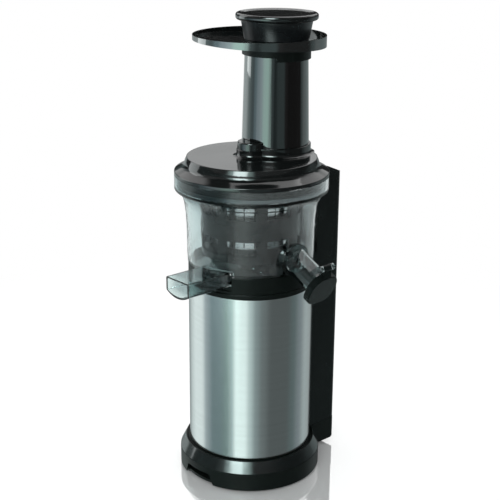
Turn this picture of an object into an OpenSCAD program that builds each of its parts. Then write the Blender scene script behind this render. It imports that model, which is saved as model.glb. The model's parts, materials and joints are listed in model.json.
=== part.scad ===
// Upright cold press juicer: a motor unit with a rear column carries a lift-off
// juicing bowl, a slow auger inside a strainer, a geared rotating brush, a lid
// with a feed tube, a hopper tray and a pusher.
// Origin: centre of the foot's underside. -Y is the juice spout, +X the pulp
// chute, +Y the rear column. Millimetres.

/* [Base] */
// Outer radius of the base band
base_r = 66.6; // [65.8:0.1:68.5]
// Height of the upright band of the base
base_band_h = 18.5; // [16:0.1:20]
// Height of the base up to the top of its chamfer
base_h = 28.7; // [28:0.1:31]
// Wall thickness of the black mouldings
wall = 2.5; // [2:0.1:2.8]
// Height of the rubber foot
foot_h = 2.5; // [2:0.1:3.5]
// Half width of the air arch at the floor
arch_half_w = 19.4; // [14:0.1:22]
// Height of the air arch
arch_h = 12; // [8:0.5:13]

/* [Motor shell] */
// Outer radius of the steel shell
shell_r = 57.7; // [57:0.1:58.2]
// Thickness of the steel sheet
shell_t = 0.9; // [0.6:0.1:1.2]
// Height of the shell's top edge
shell_top = 185.6; // [184:0.2:188]

/* [Top collar] */
// Height of the collar's rim, where the bowl sits
collar_top = 205.5; // [204.5:0.1:206]
// Height of the step between the collar's two rings
collar_step = 190.2; // [188:0.2:193]
// Height of the collar's deck, inside its rim
deck_z = 199; // [198:0.2:199.2]

/* [Rear column] */
// Half width of the column
column_half_w = 28.2; // [26:0.1:29]
// Distance from the axis to the column's outer face
column_y = 89; // [88:0.1:90]
// Height of the column's top at its outer face
column_top = 279; // [276:0.5:281]
// Slope of the column's top, rising towards the lid
column_slope = 23; // [18:0.5:24]
// Depth of the rear cover
cover_depth = 5.5; // [4.5:0.1:6]

/* [Juicing bowl] */
// Outer radius of the bowl's wall at its lower edge
bowl_r = 58.2; // [58:0.1:58.6]
// Outer radius of the bowl's rim band
rim_r = 69.9; // [69.4:0.1:70.4]
// Height of the rim's top edge
rim_top = 286.8; // [286.6:0.1:287]
// Height of the rim band
rim_h = 13; // [12:0.2:14]
// Wall thickness of the clear bowl
bowl_wall = 2.2; // [1.8:0.1:2.4]
// Width of the juice spout
spout_w = 31; // [26:0.5:32]
// Sideways offset of the spout from the axis
spout_x = 13; // [10:0.5:13.5]
// Distance from the axis to the spout's tip
spout_y = 97.5; // [88:0.5:100]
// Height of the spout's flat top
spout_top = 210.5; // [210:0.1:211]
// Depth of the spout at its middle
spout_depth = 17.2; // [16:0.2:17.6]

/* [Pulp chute] */
// Slope of the chute below the horizontal
chute_slope = 27; // [24:1:29]
// Width of the chute
chute_w = 24; // [20:0.5:24]
// Height of the chute, square to its run
chute_h = 18; // [17:0.5:19]
// Width of the flap cap
cap_w = 31; // [30:0.5:34]
// Height of the flap cap
cap_h = 30; // [29:0.5:32]

/* [Auger and strainer] */
// Outer radius of the auger's flights
auger_r = 34.2; // [32.5:0.1:34.4]
// Rise of one turn of the flights
flight_pitch = 33; // [28:1:38]
// Share of a turn that a flight's root fills
flight_share = 0.2; // [0.15:0.01:0.26]
// Inner radius of the strainer's steel sleeve
strainer_r = 35.2; // [35:0.1:35.4]
// Thickness of the strainer's sleeve
sleeve_t = 0.9; // [0.6:0.1:1]
// Outer radius of the brush holder
brush_r = 46; // [44.5:0.1:46.6]
// Radial thickness of the brush holder
brush_t = 3; // [2.5:0.1:3.4]

/* [Lid and feed tube] */
// Radius of the lid's flat top
lid_disc_r = 58.9; // [57.5:0.1:60]
// Height of the lid's flat top
lid_disc_z = 303; // [302.6:0.1:304]
// Radius of the bearing boss on the lid
boss_r = 13; // [11.5:0.1:13.5]
// Height of the boss's top
boss_top = 316.4; // [315:0.1:319]
// Distance from the axis to the feed tube's centre
tube_y = 28.7; // [28:0.1:29]
// Outer radius of the feed tube at its foot
tube_foot_r = 30.5; // [30:0.1:30.8]
// Outer radius of the feed tube at its top
tube_top_r = 28.4; // [27.8:0.1:29]
// Height of the feed tube's top edge
tube_top = 395; // [392:0.5:395.2]
// Wall thickness of the feed tube
tube_wall = 2; // [1.6:0.1:2.1]

/* [Hopper tray and pusher] */
// Outer radius of the tray
tray_r = 59.7; // [58:0.1:62]
// Offset of the tray's centre from the tube, towards the spout and away from the chute
tray_offset = [-10.6, -11]; // [-14:0.1:0]
// Height of the tray's rim
tray_top = 408.2; // [407.5:0.1:411]
// Depth of the tray's rim on its shallow side
tray_shallow = 4.4; // [4:0.1:5.5]
// Depth of the tray's rim on its deep side
tray_deep = 10; // [9:0.1:10.6]
// Direction of the tray's deep side, from the chute towards the column
tray_turn = 55; // [45:1:65]
// Radial clearance of the pusher's stem in the feed tube
pusher_gap = 0.6; // [0.4:0.1:1.2]
// Radius of the pusher's top disc
pusher_disc_r = 36.8; // [35:0.1:39]
// Thickness of the pusher's top disc
pusher_disc_h = 6; // [5:0.5:8]
// Overall height, to the top of the pusher
top_z = 427.5; // [426:0.5:430]

/* [Drive] */
// Outer radius of the motor's stator
stator_r = 38; // [36:0.5:38]
// Stack height of the stator and rotor cores
core_h = 46; // [36:1:52]
// Radius of the motor's shaft
motor_shaft_r = 4; // [3.6:0.1:4.2]
// Radius of the output shaft's round part
output_r = 5; // [4.8:0.1:5.2]
// Size across flats of the drive hexagon
hex_af = 8; // [7:0.1:8.4]
// Teeth of the motor pinion
pinion_teeth = 10; // [10:1:10]
// Teeth of the layshaft's large gear
layshaft_teeth = 55; // [55:1:55]
// Teeth of the layshaft's small gear
layshaft_pinion_teeth = 10; // [10:1:10]
// Teeth of the output gear
output_teeth = 42; // [42:1:42]
// Tooth module of the brush gears
brush_module = 1.5; // [1.5:0.1:1.5]
// Teeth of the auger's gear
auger_teeth = 16; // [16:1:16]
// Teeth of the idler between auger and brush
idler_teeth = 16; // [16:1:16]

/* [Hidden] */
$fn = 96;
e = 0.01;             // overcut of a cutting tool
fit = 0.05;           // radial clearance of a running fit
gap = 0.3;            // clearance between bodies
seat_gap = 0.1;       // radial clearance of a piece in its own body's seat

// base
band_bottom = 1.2;
neck_z = base_h - 0.9;                 // dark groove under the shell
shell_bottom = base_h + 0.7;
base_in_r = base_r - wall;
shell_in_r = shell_r - shell_t;
lip_r = shell_in_r - seat_gap;         // lip inside the shell's lower edge
deck_inner_r = 47;
base_deck_z = base_h - 4;              // underside of the base's deck
post_ring_r = 52.5;                    // ring of the screw posts
post_r = 4;
screw_r = 1.6;
cover_z = foot_h;
cover_t = 2.5;

// column
foot_block_top = 27;                   // the base's own foot of the column
foot_block_z = 5;
split_y = column_y - cover_depth;      // seam between housing and rear cover
column_r = 5.4;                        // rounded upright corners
top_rise = tan(column_slope);
boss_x = column_half_w - wall - 3.2;   // screw bosses along the side walls
rear_screw_z = [42, 258];
flare = rim_r - 1.6 - bowl_r;          // how far the bowl's wall swells up to its rim
bowl_clear_r = bowl_r + 0.28 * flare + 2.9; // column face behind the bowl's wall
rim_clear_r = rim_r + 1.5;             // column face behind the rim and lid
rim_clear_z = 258;

// power switch, on the rear face
switch_z = 66;
switch_w = 15;
switch_h = 23;
switch_lip = 1.6;
rocker_w = switch_w - 2 * switch_lip - 2 * gap;
rocker_h = switch_h - 2 * switch_lip - 2 * gap - 1;
rocker_tilt = 10;
grommet_z = 16;
grommet_r = 4.6;

// interlock
pin_y = 79;
pin_r = 2.5;
lug_z = 288.3;                         // underside of the lid's lug
lug_half_w = 3;
lug_t = 3.6;
lug_gap = 0.4;                         // the pin clears the lug before it rises this far
column_ledge = lug_z - 1;              // the lug swings over this height
pin_top = lug_z - lug_gap;
shelf_z = 243;
micro_h = 10;
pin_low = 262;
pin_flange_r = 4.2;
pin_flange_h = 2;
spring_wire = 0.45;
spring_turns = 6;

// motor and gearbox
motor_z = 72;                          // lower end of the cores
bracket_z = 52;
bracket_t = 6;
bolt_ring_r = stator_r + 3;
bracket_r = bolt_ring_r + 5;
bracket_post_r = shell_in_r - 5.3;     // ring of the posts that carry the bracket
capacitor_r = (shell_in_r - stator_r) / 2 - 2;
capacitor_x = -(shell_in_r + stator_r) / 2;
bolt_r = 1.8;
rotor_r = 20.4;
gearbox_drop = 30;                     // from the cores to the gearbox's floor
air_gap = 0.6;
fan_r = 27;
fan_z = 38;
fan_h = 10;
gearbox_z = motor_z + core_h + gearbox_drop;
gearbox_t = 3.5;
gearbox_r = shell_in_r - 3.8;
gearbox_in_r = gearbox_r - 3;
gearbox_lid_t = 4;
layshaft_x = 0.52 * gearbox_in_r;      // distance between the axis and the layshaft
bearing_or = 9;
bearing_h = 5;
output_bearing_or = 11;
module_1 = 2 * layshaft_x / (pinion_teeth + layshaft_teeth);
module_2 = 2 * layshaft_x / (layshaft_pinion_teeth + output_teeth);
stage_1_z = gearbox_z + gearbox_t + 2;
stage_1_h = 7;
stage_2_z = stage_1_z + stage_1_h + 3;
stage_2_h = 9.5;
gearbox_top = stage_2_z + stage_2_h + 7;
layshaft_pin_r = 2.5;
collar_screw_ring = gearbox_in_r - 6;  // screws that clamp gearbox and collar together
tooth_fill = 0.8;                      // tooth thickness as a share of half the pitch

// bowl
bowl_seat_z = collar_top + gap;        // bowl wall's lower edge over the collar's rim
rim_in = shell_r - 1.8;                // bore of the collar's rim
tub_r = rim_in - 1.1;                  // part of the bowl inside the collar
tub_z = deck_z + gap;
floor_t = 2.5;
floor_z = tub_z + floor_t;
drum_r = 38;                           // raised drum under the gears
drum_top = 214.5;
chimney_r = 8.3;
chimney_bore = 7;
chimney_top = 223;
rim_z = rim_top - rim_h;
gear_z = drum_top + 0.5;
gear_h = 5.5;
idler_x = -brush_module * (auger_teeth + idler_teeth) / 2;
ring_teeth = auger_teeth + 2 * idler_teeth;
idler_bore = 2.5;
spout_root = tub_r - 8.8;
spout_step_r = rim_in + 0.4;           // where the spout drops over the collar
port_x = [17, 31];                     // pulp port through the gear layer
port_half_w = 8;
port_t = 1.4;
duct_half_w = 12.5;
duct_end = brush_r + 3.2;              // where the duct turns up to the chute
chute_c = [bowl_r + 11.8, 0, 213];     // a point on the chute's centre line
chute_len = 22;                        // chute's end beyond that point
chute_flange = [30, 28];
chute_corner = 7.5;
cap_z = -2.2;                          // centre of the cap below the centre line
cap_depth = 6.5;
cap_face = 3;
cap_r = 12;
hinge_at = [19, 18.5];                 // hinge axis along and above the centre line
hinge_r = 3.1;
hinge_pin_r = 1.5;

// strainer, brush and auger
plate_z = gear_z + gear_h + 1;
plate_t = 2.5;
plate_top = plate_z + plate_t;
strainer_top = 280;
rib_r = strainer_r + sleeve_t + 2;
ribs = 8;
brush_top = 276;
window_z = [[220.6, 14.4], [255, 15]]; // lower edge and height of each row
windows = 8;
window_turn = -9;
journal_r = 13.5;
journal_top = plate_top + 0.2;
screw_low = journal_top;
screw_top = 294;
hub_low_r = 25;
hub_high_r = 14;
core_r = 8;
pin_len = 13;
auger_pin_r = 4;

// lid
lid_low = rim_top + gap;               // lid's flange over the bowl's rim
lid_band_top = lid_low + 3.3;
skirt_r = rim_r - 2.8;
skirt_t = 1.9;
skirt_z = 279.5;
lid_t = 2.5;
tube_seat_z = lid_disc_z - 0.3;
tube_collar_r = tube_foot_r + 1.9;
tube_collar_top = 311.5;
collar_fillet = 3.5;
collar_reach = tube_y + tube_collar_r + 0.4; // the collar's foot stops here above the shoulder
bush_r = 7;
bush_low = 296.2;
bush_top = 311;
gasket_low = rim_z + 2.8;
gasket_top = lid_low - 7.3;
gasket_r = rim_r - 2.7;                 // just inside the bowl's rim

// tray and pusher
socket_r = tube_top_r + 2.4;
socket_low = tube_top - 7;             // socket's edge on the deep side
socket_step = tube_top - 3.6;          // and on the shallow side
socket_bore = tube_top_r + 0.6;
throat_r = tube_top_r - tube_wall;
throat_top = tray_top - 3.8;
tray_at = [tray_offset[0], tube_y + tray_offset[1]];
tray_wall = 2;
tray_floor = 1.8;
tray_tilt = atan((tray_deep - tray_shallow) / (2 * tray_r));
tray_mid_z = tray_top - (tray_deep + tray_shallow) / 2;
pusher_r = throat_r - pusher_gap;
pusher_low = boss_top + 1.5;
pusher_wall = 2;
pusher_seat = throat_top + gap;
pusher_disc_z = top_z - pusher_disc_h;

// colours
black = [0.05, 0.055, 0.055];
dark = [0.12, 0.13, 0.13];
steel = [0.72, 0.74, 0.75];
clear = [0.62, 0.66, 0.68, 0.45];
smoke = [0.2, 0.23, 0.24, 0.6];
rubber = [0.08, 0.08, 0.08];
copper = [0.72, 0.4, 0.2];
silicone = [0.3, 0.33, 0.34];
nylon = [0.85, 0.84, 0.78];

// ---- helpers ----

// points along an arc, from angle a0 to a1
function arc(c, r, a0, a1, n = 6) =
    [for (i = [0:n]) let (a = a0 + (a1 - a0) * i / n) [c[0] + r * cos(a), c[1] + r * sin(a)]];

// half angle of a chord of half width s at radius r
function half_angle(s, r) = asin(min(s / r, 0.99));

// outline of a spur gear with straight flanks, one tooth centred on angle turn
function gear_outline(m, z, add, ded, fill, turn) =
    let (
        rp = m * z / 2,
        sp = PI * m / 4 * fill,
        levels = [[rp - ded * m, sp + ded * m * tan(20)], [rp, sp], [rp + add * m, sp - add * m * tan(20)]]
    )
    [for (i = [0:z - 1]) for (k = [-3, -2, -1, 1, 2, 3])
        let (lv = levels[k < 0 ? k + 3 : 3 - k], a = turn + 360 * i / z + sign(k) * half_angle(lv[1], lv[0]))
        lv[0] * [cos(a), sin(a)]];

module gear(m, z, h, turn = 0) {
    linear_extrude(h) polygon(gear_outline(m, z, 0.8, 1.15, tooth_fill, turn));
}

module ring(r_out, r_in, h) {
    difference() {
        cylinder(r = r_out, h = h);
        translate([0, 0, -e]) cylinder(r = r_in, h = h + 2 * e);
    }
}

module hexagon(af, h) {
    cylinder(r = af / 2 / cos(30), h = h, $fn = 6);
}

// rectangle with round corners, centred
module round_rect(w, h, r) {
    square([w - 2 * r, h], center = true);
    square([w, h - 2 * r], center = true);
    for (x = [-1, 1], y = [-1, 1]) translate([x * (w / 2 - r), y * (h / 2 - r)]) circle(r = r, $fn = 48);
}

module at_ring(r, count, first = 0) {
    for (i = [0:count - 1]) rotate(first + 360 * i / count) translate([r, 0, 0]) children();
}

// a countersunk screw, its head's top at z = 0 and its shank below
module screw(r, len) {
    translate([0, 0, -len]) cylinder(r = r, h = len, $fn = 24);
    translate([0, 0, -r]) cylinder(r1 = r, r2 = 2 * r, h = r, $fn = 32);
}

module bearing(r_out, r_in, h) {
    rotate_extrude() polygon([
        [r_in, 0], [r_out, 0], [r_out, h], [r_in + 0.68 * (r_out - r_in), h],
        [r_in + 0.64 * (r_out - r_in), h - 0.5], [r_in + 0.36 * (r_out - r_in), h - 0.5],
        [r_in + 0.32 * (r_out - r_in), h], [r_in, h]]);
}

// ---- motor unit ----

// plan of the column, from the axis to its outer face
module column_plan(inset = 0) {
    hw = column_half_w - inset;
    far = column_y - inset;
    r = column_r - inset / 2;
    translate([-hw, 0]) square([2 * hw, far - r]);
    translate([-hw + r, 0]) square([2 * (hw - r), far]);
    for (x = [-1, 1]) translate([x * (hw - r), far - r]) circle(r = r, $fn = 48);
}

// side view of the column, extruded across it
module column_side(low, drop = 0) {
    reach = column_y + 2;
    high = column_top + top_rise * column_y - drop;
    rotate([90, 0, 90]) translate([0, 0, -40]) linear_extrude(80)
        polygon([[0, low], [reach, low], [reach, high - top_rise * reach],
                 [(high - column_ledge + drop) / top_rise, column_ledge - drop], [0, column_ledge - drop]]);
}

// room for everything round the axis, in front of the column
module column_front(extra = 0) {
    rotate_extrude() polygon([
        [0, 0], [shell_r + 0.15, 0], [shell_r + 0.15, shell_top - e - extra],
        [shell_r + 0.9 + extra, shell_top - extra], [shell_r + 0.9 + extra, collar_top + 0.5 - extra],
        [bowl_clear_r + extra, collar_top + 1 - extra], [bowl_clear_r + extra, rim_clear_z - extra],
        [rim_clear_r + extra, rim_clear_z + 8 - extra], [rim_clear_r + extra, 320], [0, 320]]);
}

module arch_cutter() {
    ramp = 6.5;
    rotate([90, 0, 0]) linear_extrude(base_r + 5) polygon(concat(
        [[arch_half_w + 1, -1]], [[arch_half_w, band_bottom]],
        arc([arch_half_w - ramp, arch_h - ramp / 2], ramp / 2, 0, 90),
        arc([-arch_half_w + ramp, arch_h - ramp / 2], ramp / 2, 90, 180),
        [[-arch_half_w, band_bottom], [-arch_half_w - 1, -1]]));
}

module base_housing() color(black) {
    difference() {
        union() {
            rotate_extrude($fn = 180) polygon(concat(
                [[base_in_r, band_bottom], [base_r - 1, band_bottom]],
                arc([base_r - 1, band_bottom + 1], 1, -90, 0, 4),
                arc([base_r - 2, base_band_h - 1], 2, 0, 28, 4),
                arc([shell_r + 3, base_h - 0.7], 0.7, 28, 100, 4),
                [[shell_r + 1.2, neck_z], [shell_r - 0.3, neck_z], [shell_r - 0.3, shell_bottom],
                 [lip_r, shell_bottom], [lip_r, shell_bottom + 6], [lip_r - 2, shell_bottom + 6],
                 [lip_r - 2, base_deck_z + wall], [deck_inner_r, base_deck_z + wall],
                 [deck_inner_r, base_deck_z], [base_in_r - 4.6, base_deck_z],
                 [base_in_r, base_band_h - 3]]));
            column_foot();
            at_ring(post_ring_r, 4, 45) translate([0, 0, cover_z + cover_t])
                cylinder(r = post_r, h = base_deck_z - cover_z - cover_t + 1);
        }
        arch_cutter();
        at_ring(post_ring_r, 4, 45) translate([0, 0, cover_z]) cylinder(r = screw_r, h = 14, $fn = 24);
        translate([0, column_y + 1, grommet_z]) rotate([90, 0, 0]) cylinder(r = grommet_r, h = wall + 2);
        // room for the column on the chamfer
        translate([0, 0, foot_block_top]) linear_extrude(20) difference() {
            column_plan(-0.05);
            circle(r = shell_r + 0.1, $fn = 180);
        }
    }
}

// the base's own foot of the column, open at its top
module column_foot() {
    round_low = 6;
    difference() {
        intersection() {
            translate([0, 0, foot_block_z]) linear_extrude(foot_block_top - foot_block_z) column_plan(-0.2);
            rotate([90, 0, 90]) translate([0, 0, -40]) linear_extrude(80) union() {
                square([column_y + 0.2 - round_low, 40]);
                translate([0, foot_block_z + round_low]) square([column_y + 0.2, 40]);
                translate([column_y + 0.2 - round_low, foot_block_z + round_low]) circle(r = round_low);
            }
        }
        translate([0, 0, foot_block_z - 1]) cylinder(r = base_in_r, h = 40, $fn = 180);
        translate([0, 0, foot_block_z + wall]) linear_extrude(40) difference() {
            column_plan(wall);
            circle(r = base_r - 0.5, $fn = 180);
        }
    }
    // sill that closes the gap between the base's chamfer and the column
    difference() {
        translate([0, 0, base_band_h - 2]) linear_extrude(foot_block_top - base_band_h + 2)
            intersection() {
                column_plan(0);
                difference() {
                    circle(r = base_r + 1, $fn = 180);
                    circle(r = shell_r + 3, $fn = 180);
                }
            }
        translate([0, 0, base_band_h - 3]) cylinder(r1 = base_in_r, r2 = base_in_r - 6, h = 11);
    }
}

module bottom_cover() color(dark) {
    slots = 9;
    difference() {
        translate([0, 0, cover_z]) cylinder(r = base_in_r - seat_gap, h = cover_t);
        at_ring(post_ring_r, 4, 45) translate([0, 0, cover_z - e]) {
            cylinder(r = screw_r + 0.2, h = cover_t + 1, $fn = 24);
            cylinder(r1 = 2 * screw_r + 0.2, r2 = screw_r + 0.2, h = screw_r, $fn = 32);
        }
        for (i = [0:slots - 1]) translate([6 * (i - (slots - 1) / 2), 0, cover_z - e])
            linear_extrude(cover_t + 1) round_rect(2.4, 44, 1.1);
    }
}

module rubber_foot() color(rubber) {
    foot_out = 63.5;
    foot_in = 57.5;
    gap_half = 18;
    difference() {
        ring(foot_out, foot_in, foot_h);
        translate([-gap_half, -base_r, -e]) cube([2 * gap_half, base_r, foot_h + 1]);
    }
}

module cover_screws() color(steel) {
    at_ring(post_ring_r, 4, 45) translate([0, 0, cover_z + 0.05]) mirror([0, 0, 1])
        screw(screw_r - 0.02, 11);
}

module motor_shell() color(steel) {
    window_half = 20;
    difference() {
        translate([0, 0, shell_bottom])
            ring(shell_r, shell_in_r, shell_top - shell_bottom, $fn = 180);
        translate([-window_half, 0, 44]) cube([2 * window_half, 80, 122]);
    }
}

module top_collar() color(black) {
    skirt_low = shell_top - 7;
    low_ring_r = shell_r + 0.5;
    high_ring_r = shell_r + 0.1;
    hub_r = 12;
    notch_half = spout_w / 2 + 0.6;
    difference() {
        union() {
            rotate_extrude($fn = 180) polygon([
                [lip_r - 2, skirt_low], [lip_r, skirt_low], [lip_r, shell_top],
                [low_ring_r, shell_top], [low_ring_r, collar_step - 0.5],
                [high_ring_r - 0.6, collar_step - 0.2],
                [high_ring_r - 0.6, collar_step + 0.4], [high_ring_r, collar_step + 0.7],
                [high_ring_r, collar_top - 0.6], [high_ring_r - 0.6, collar_top], [rim_in, collar_top],
                [rim_in, deck_z], [output_r + fit, deck_z], [output_r + fit, deck_z - 3],
                [lip_r - 2, deck_z - 3]]);
            translate([0, 0, deck_z - 8]) cylinder(r = hub_r, h = 18);
            at_ring(collar_screw_ring, 3) translate([0, 0, gearbox_top + gearbox_lid_t])
                cylinder(r = 4.5, h = deck_z - 2 - gearbox_top - gearbox_lid_t);
        }
        translate([0, 0, deck_z - 12]) cylinder(r = output_r + 2 + seat_gap, h = 16);
        translate([0, 0, deck_z + 3]) cylinder(r = 9, h = 10);
        difference() {
            translate([spout_x - notch_half, -base_r, spout_top - spout_depth - 0.6])
                cube([2 * notch_half, base_r - 40, 30]);
            cylinder(r = rim_in, h = 250, $fn = 180);
        }
        at_ring(collar_screw_ring, 3) translate([0, 0, gearbox_top])
            cylinder(r = screw_r, h = 12, $fn = 24);
    }
}

module column_housing() color(black) {
    difference() {
        intersection() {
            translate([0, 0, foot_block_top]) linear_extrude(320 - foot_block_top) intersection() {
                column_plan(0);
                translate([-50, 0]) square([100, split_y]);
            }
            column_side(foot_block_top);
        }
        column_front();
        // inner cavity, open to the shell below and closed behind the bowl
        difference() {
            intersection() {
                translate([0, 0, foot_block_top - e]) linear_extrude(320) intersection() {
                    column_plan(wall);
                    translate([-50, 0]) square([100, split_y + e]);
                }
                column_side(foot_block_top - 1, wall / cos(column_slope));
            }
            translate([0, 0, shell_top]) column_front_shell();
            rear_bosses();
            pin_guide();
            translate([-14, 60, shelf_z - 2]) cube([28, 22, 2]);
        }
        translate([0, pin_y, 250]) cylinder(r = pin_r + fit, h = 60);
        rear_screw_places() translate([0, 0, -14]) cylinder(r = screw_r, h = 20, $fn = 24);
    }
}

// wall between the column's cavity and the bowl, above the shell
module column_front_shell() {
    translate([0, 0, -shell_top]) intersection() {
        column_front(wall);
        translate([-50, -50, shell_top - wall]) cube([100, 150, 140]);
    }
}

module rear_screw_places() {
    for (x = [-1, 1], z = rear_screw_z) translate([x * boss_x, split_y, z]) rotate([-90, 0, 0]) children();
}

module rear_bosses() {
    rear_screw_places() translate([0, 0, -16]) cylinder(r = 3.6, h = 16 + e);
}

module pin_guide() {
    translate([0, pin_y, column_top - 4]) cylinder(r = 4.4, h = 20);
}

module rear_cover() color(black) {
    difference() {
        intersection() {
            translate([0, 0, foot_block_top]) linear_extrude(320 - foot_block_top) intersection() {
                column_plan(0);
                translate([-50, split_y]) square([100, 30]);
            }
            column_side(foot_block_top);
        }
        difference() {
            intersection() {
                translate([0, 0, foot_block_top + wall]) linear_extrude(320) intersection() {
                    column_plan(wall);
                    translate([-50, split_y - e]) square([100, 30]);
                }
                column_side(foot_block_top, wall / cos(column_slope));
            }
            rear_screw_places() translate([0, 0, -e]) cylinder(r = 4.2, h = 10);
        }
        rear_screw_places() {
            translate([0, 0, -1]) cylinder(r = screw_r + 0.2, h = 10, $fn = 24);
            translate([0, 0, 2.2]) cylinder(r = 2 * screw_r + 0.3, h = 10, $fn = 32);
        }
        translate([0, column_y, switch_z]) rotate([90, 0, 0])
            translate([0, 0, -1]) linear_extrude(10) round_rect(switch_w - 1, switch_h - 1, 1.5);
    }
}

module rear_screws() color(steel) {
    rear_screw_places() translate([0, 0, 2.2 + screw_r]) screw(screw_r - 0.02, 12);
}

module switch_frame() color(dark) {
    lip_out = 0.8;
    depth = 6;
    translate([0, column_y, switch_z]) rotate([-90, 0, 0]) difference() {
        union() {
            linear_extrude(lip_out) round_rect(switch_w + 2, switch_h + 2, 2);
            translate([0, 0, -depth]) linear_extrude(depth + e)
                round_rect(switch_w - 1.2, switch_h - 1.2, 1.4);
        }
        translate([0, 0, -depth - 1]) linear_extrude(depth + 3)
            round_rect(switch_w - 2 * switch_lip, switch_h - 2 * switch_lip, 0.8);
    }
}

module switch_body() color(dark) {
    body_y = 8;
    difference() {
        translate([-switch_w / 2 + 0.6, column_y - 6 - body_y, switch_z - switch_h / 2 + 0.6])
            cube([switch_w - 1.2, body_y, switch_h - 1.2]);
        translate([-rocker_w / 2 - 0.4, column_y - 8.4, switch_z - 4]) cube([rocker_w + 0.8, 8, 8]);
    }
    // blade terminals
    for (z = [-7, 0, 7]) translate([-3, column_y - 6 - body_y - 5, switch_z + z - 0.4]) cube([6, 5, 0.8]);
}

module power_rocker() color(dark) {
    crown = 1.4;
    side = crown / cos(rocker_tilt) + 1.2;
    translate([-rocker_w / 2, 0, 0]) intersection() {
        translate([0, column_y - 3.5, switch_z]) rotate([90, 0, 90]) linear_extrude(rocker_w) union() {
            // shallow V of the two pads, in the Y-Z plane
            polygon([[1.2, -rocker_h / 2 + 0.5], [4.6, -rocker_h / 2 + 0.5], [3.6, 0],
                     [4.6, rocker_h / 2 - 0.5], [1.2, rocker_h / 2 - 0.5], [-0.8, 3], [-0.8, -3]]);
            translate([-1, 0]) circle(r = 2.4, $fn = 32);
        }
        translate([-1, column_y - 10, switch_z - rocker_h / 2]) cube([rocker_w + 2, 10 + side, rocker_h]);
    }
}

module cord_grommet() color(rubber) {
    translate([0, column_y + 0.2, grommet_z]) rotate([-90, 0, 0]) difference() {
        union() {
            cylinder(r1 = grommet_r + 2, r2 = grommet_r + 1.4, h = 1.6);
            translate([0, 0, -wall - 1]) cylinder(r = grommet_r - seat_gap, h = wall + 2);
            translate([0, 0, -wall - 2]) cylinder(r = grommet_r + 1.2, h = 1.6);
        }
        translate([0, 0, -wall - 4]) cylinder(r = 3, h = wall + 8);
    }
}

module interlock_pin() color(nylon) {
    translate([0, pin_y, pin_low]) {
        cylinder(r = pin_r, h = pin_top - pin_low - 0.8);
        translate([0, 0, pin_top - pin_low - 0.8]) cylinder(r1 = pin_r, r2 = pin_r - 0.8, h = 0.8);
        translate([0, 0, 4]) cylinder(r = pin_flange_r, h = pin_flange_h);
    }
    translate([0, pin_y, shelf_z + micro_h + 2 + gap])
        cylinder(r = 1.2, h = pin_low - shelf_z - micro_h - 2);
}

// round wire wound into a compression spring: a ring of points swept along a helix
module interlock_spring() color(steel) {
    low = shelf_z + micro_h + 2 + spring_wire;
    high = pin_low + 4 - spring_wire;
    coil_r = 3;
    sides = 6;
    steps = 18 * spring_turns;
    points = [for (i = [0:steps], k = [0:sides - 1])
        let (a = 360 * spring_turns * i / steps, b = 360 * k / sides, r = coil_r + spring_wire * cos(b))
        [r * cos(a), pin_y + r * sin(a), low + (high - low) * i / steps + spring_wire * sin(b)]];
    skin = [for (i = [0:steps - 1], k = [0:sides - 1])
        let (k2 = (k + 1) % sides, p = i * sides)
        [p + k, p + sides + k, p + sides + k2, p + k2]];
    polyhedron(points, concat(
        skin,
        [[for (k = [0:sides - 1]) k]],
        [[for (k = [sides - 1:-1:0]) steps * sides + k]]), convexity = 8);
}

module interlock_switch() color(dark) {
    half_w = 10;
    translate([-half_w, pin_y - 4, shelf_z]) cube([2 * half_w, 7, micro_h]);
    translate([-half_w + 2, pin_y - 2, shelf_z + micro_h]) cube([2 * half_w - 4, 4, 2]);
}

// ---- motor and gearbox ----

module motor_bracket() color(steel) {
    arm = 8;
    difference() {
        union() {
            translate([0, 0, bracket_z]) cylinder(r = bracket_r, h = bracket_t);
            at_ring(bracket_post_r, 4, 45) translate([0, 0, base_deck_z + wall])
                cylinder(r = 3, h = bracket_z + bracket_t - base_deck_z - wall);
            for (i = [0:3]) rotate(45 + 90 * i) translate([bolt_ring_r - 11, -arm / 2, bracket_z])
                cube([bracket_post_r - bolt_ring_r + 11, arm, bracket_t]);
            at_ring(bolt_ring_r, 4, 45) translate([0, 0, bracket_z])
                cylinder(r = 4, h = motor_z - bracket_z);
            translate([capacitor_x, 0, bracket_z]) cylinder(r = capacitor_r + 1.2, h = bracket_t);
        }
        translate([0, 0, bracket_z - e]) cylinder(r = bearing_or + seat_gap, h = bearing_h);
        translate([0, 0, bracket_z - e]) cylinder(r = motor_shaft_r + 1, h = bracket_t + 1);
        at_ring(bolt_ring_r, 4, 45) translate([0, 0, bracket_z - 1]) cylinder(r = bolt_r + seat_gap, h = 30);
        at_ring(25, 8, 22.5) translate([0, 0, bracket_z - 1]) cylinder(r = 6, h = bracket_t + 2);
    }
}

module motor_bolts() color(steel) {
    at_ring(bolt_ring_r, 4, 45) {
        translate([0, 0, bracket_z - 3]) cylinder(r = bolt_r, h = gearbox_z + 2 - bracket_z + 3);
        translate([0, 0, bracket_z - 3]) cylinder(r = 3.2, h = 3, $fn = 6);
    }
}

slot_count = 12;
slot_low_r = 24;
slot_high_r = 33;

module stator_slots(grow = 0) {
    for (i = [0:slot_count - 1]) rotate(360 * i / slot_count)
        translate([slot_low_r - grow, -2.6 - grow])
            square([slot_high_r - slot_low_r + 2 * grow, 5.2 + 2 * grow]);
}

module motor_stator() color(steel) {
    translate([0, 0, motor_z]) linear_extrude(core_h) difference() {
        union() {
            circle(r = stator_r);
            at_ring(bolt_ring_r, 4, 45) circle(r = 4.5);
        }
        circle(r = rotor_r + air_gap);
        stator_slots();
        for (i = [0:slot_count - 1]) rotate(360 * i / slot_count)
            translate([rotor_r, -0.8]) square([slot_low_r - rotor_r + 1, 1.6]);
        at_ring(bolt_ring_r, 4, 45) circle(r = bolt_r + seat_gap, $fn = 32);
    }
}

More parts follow.
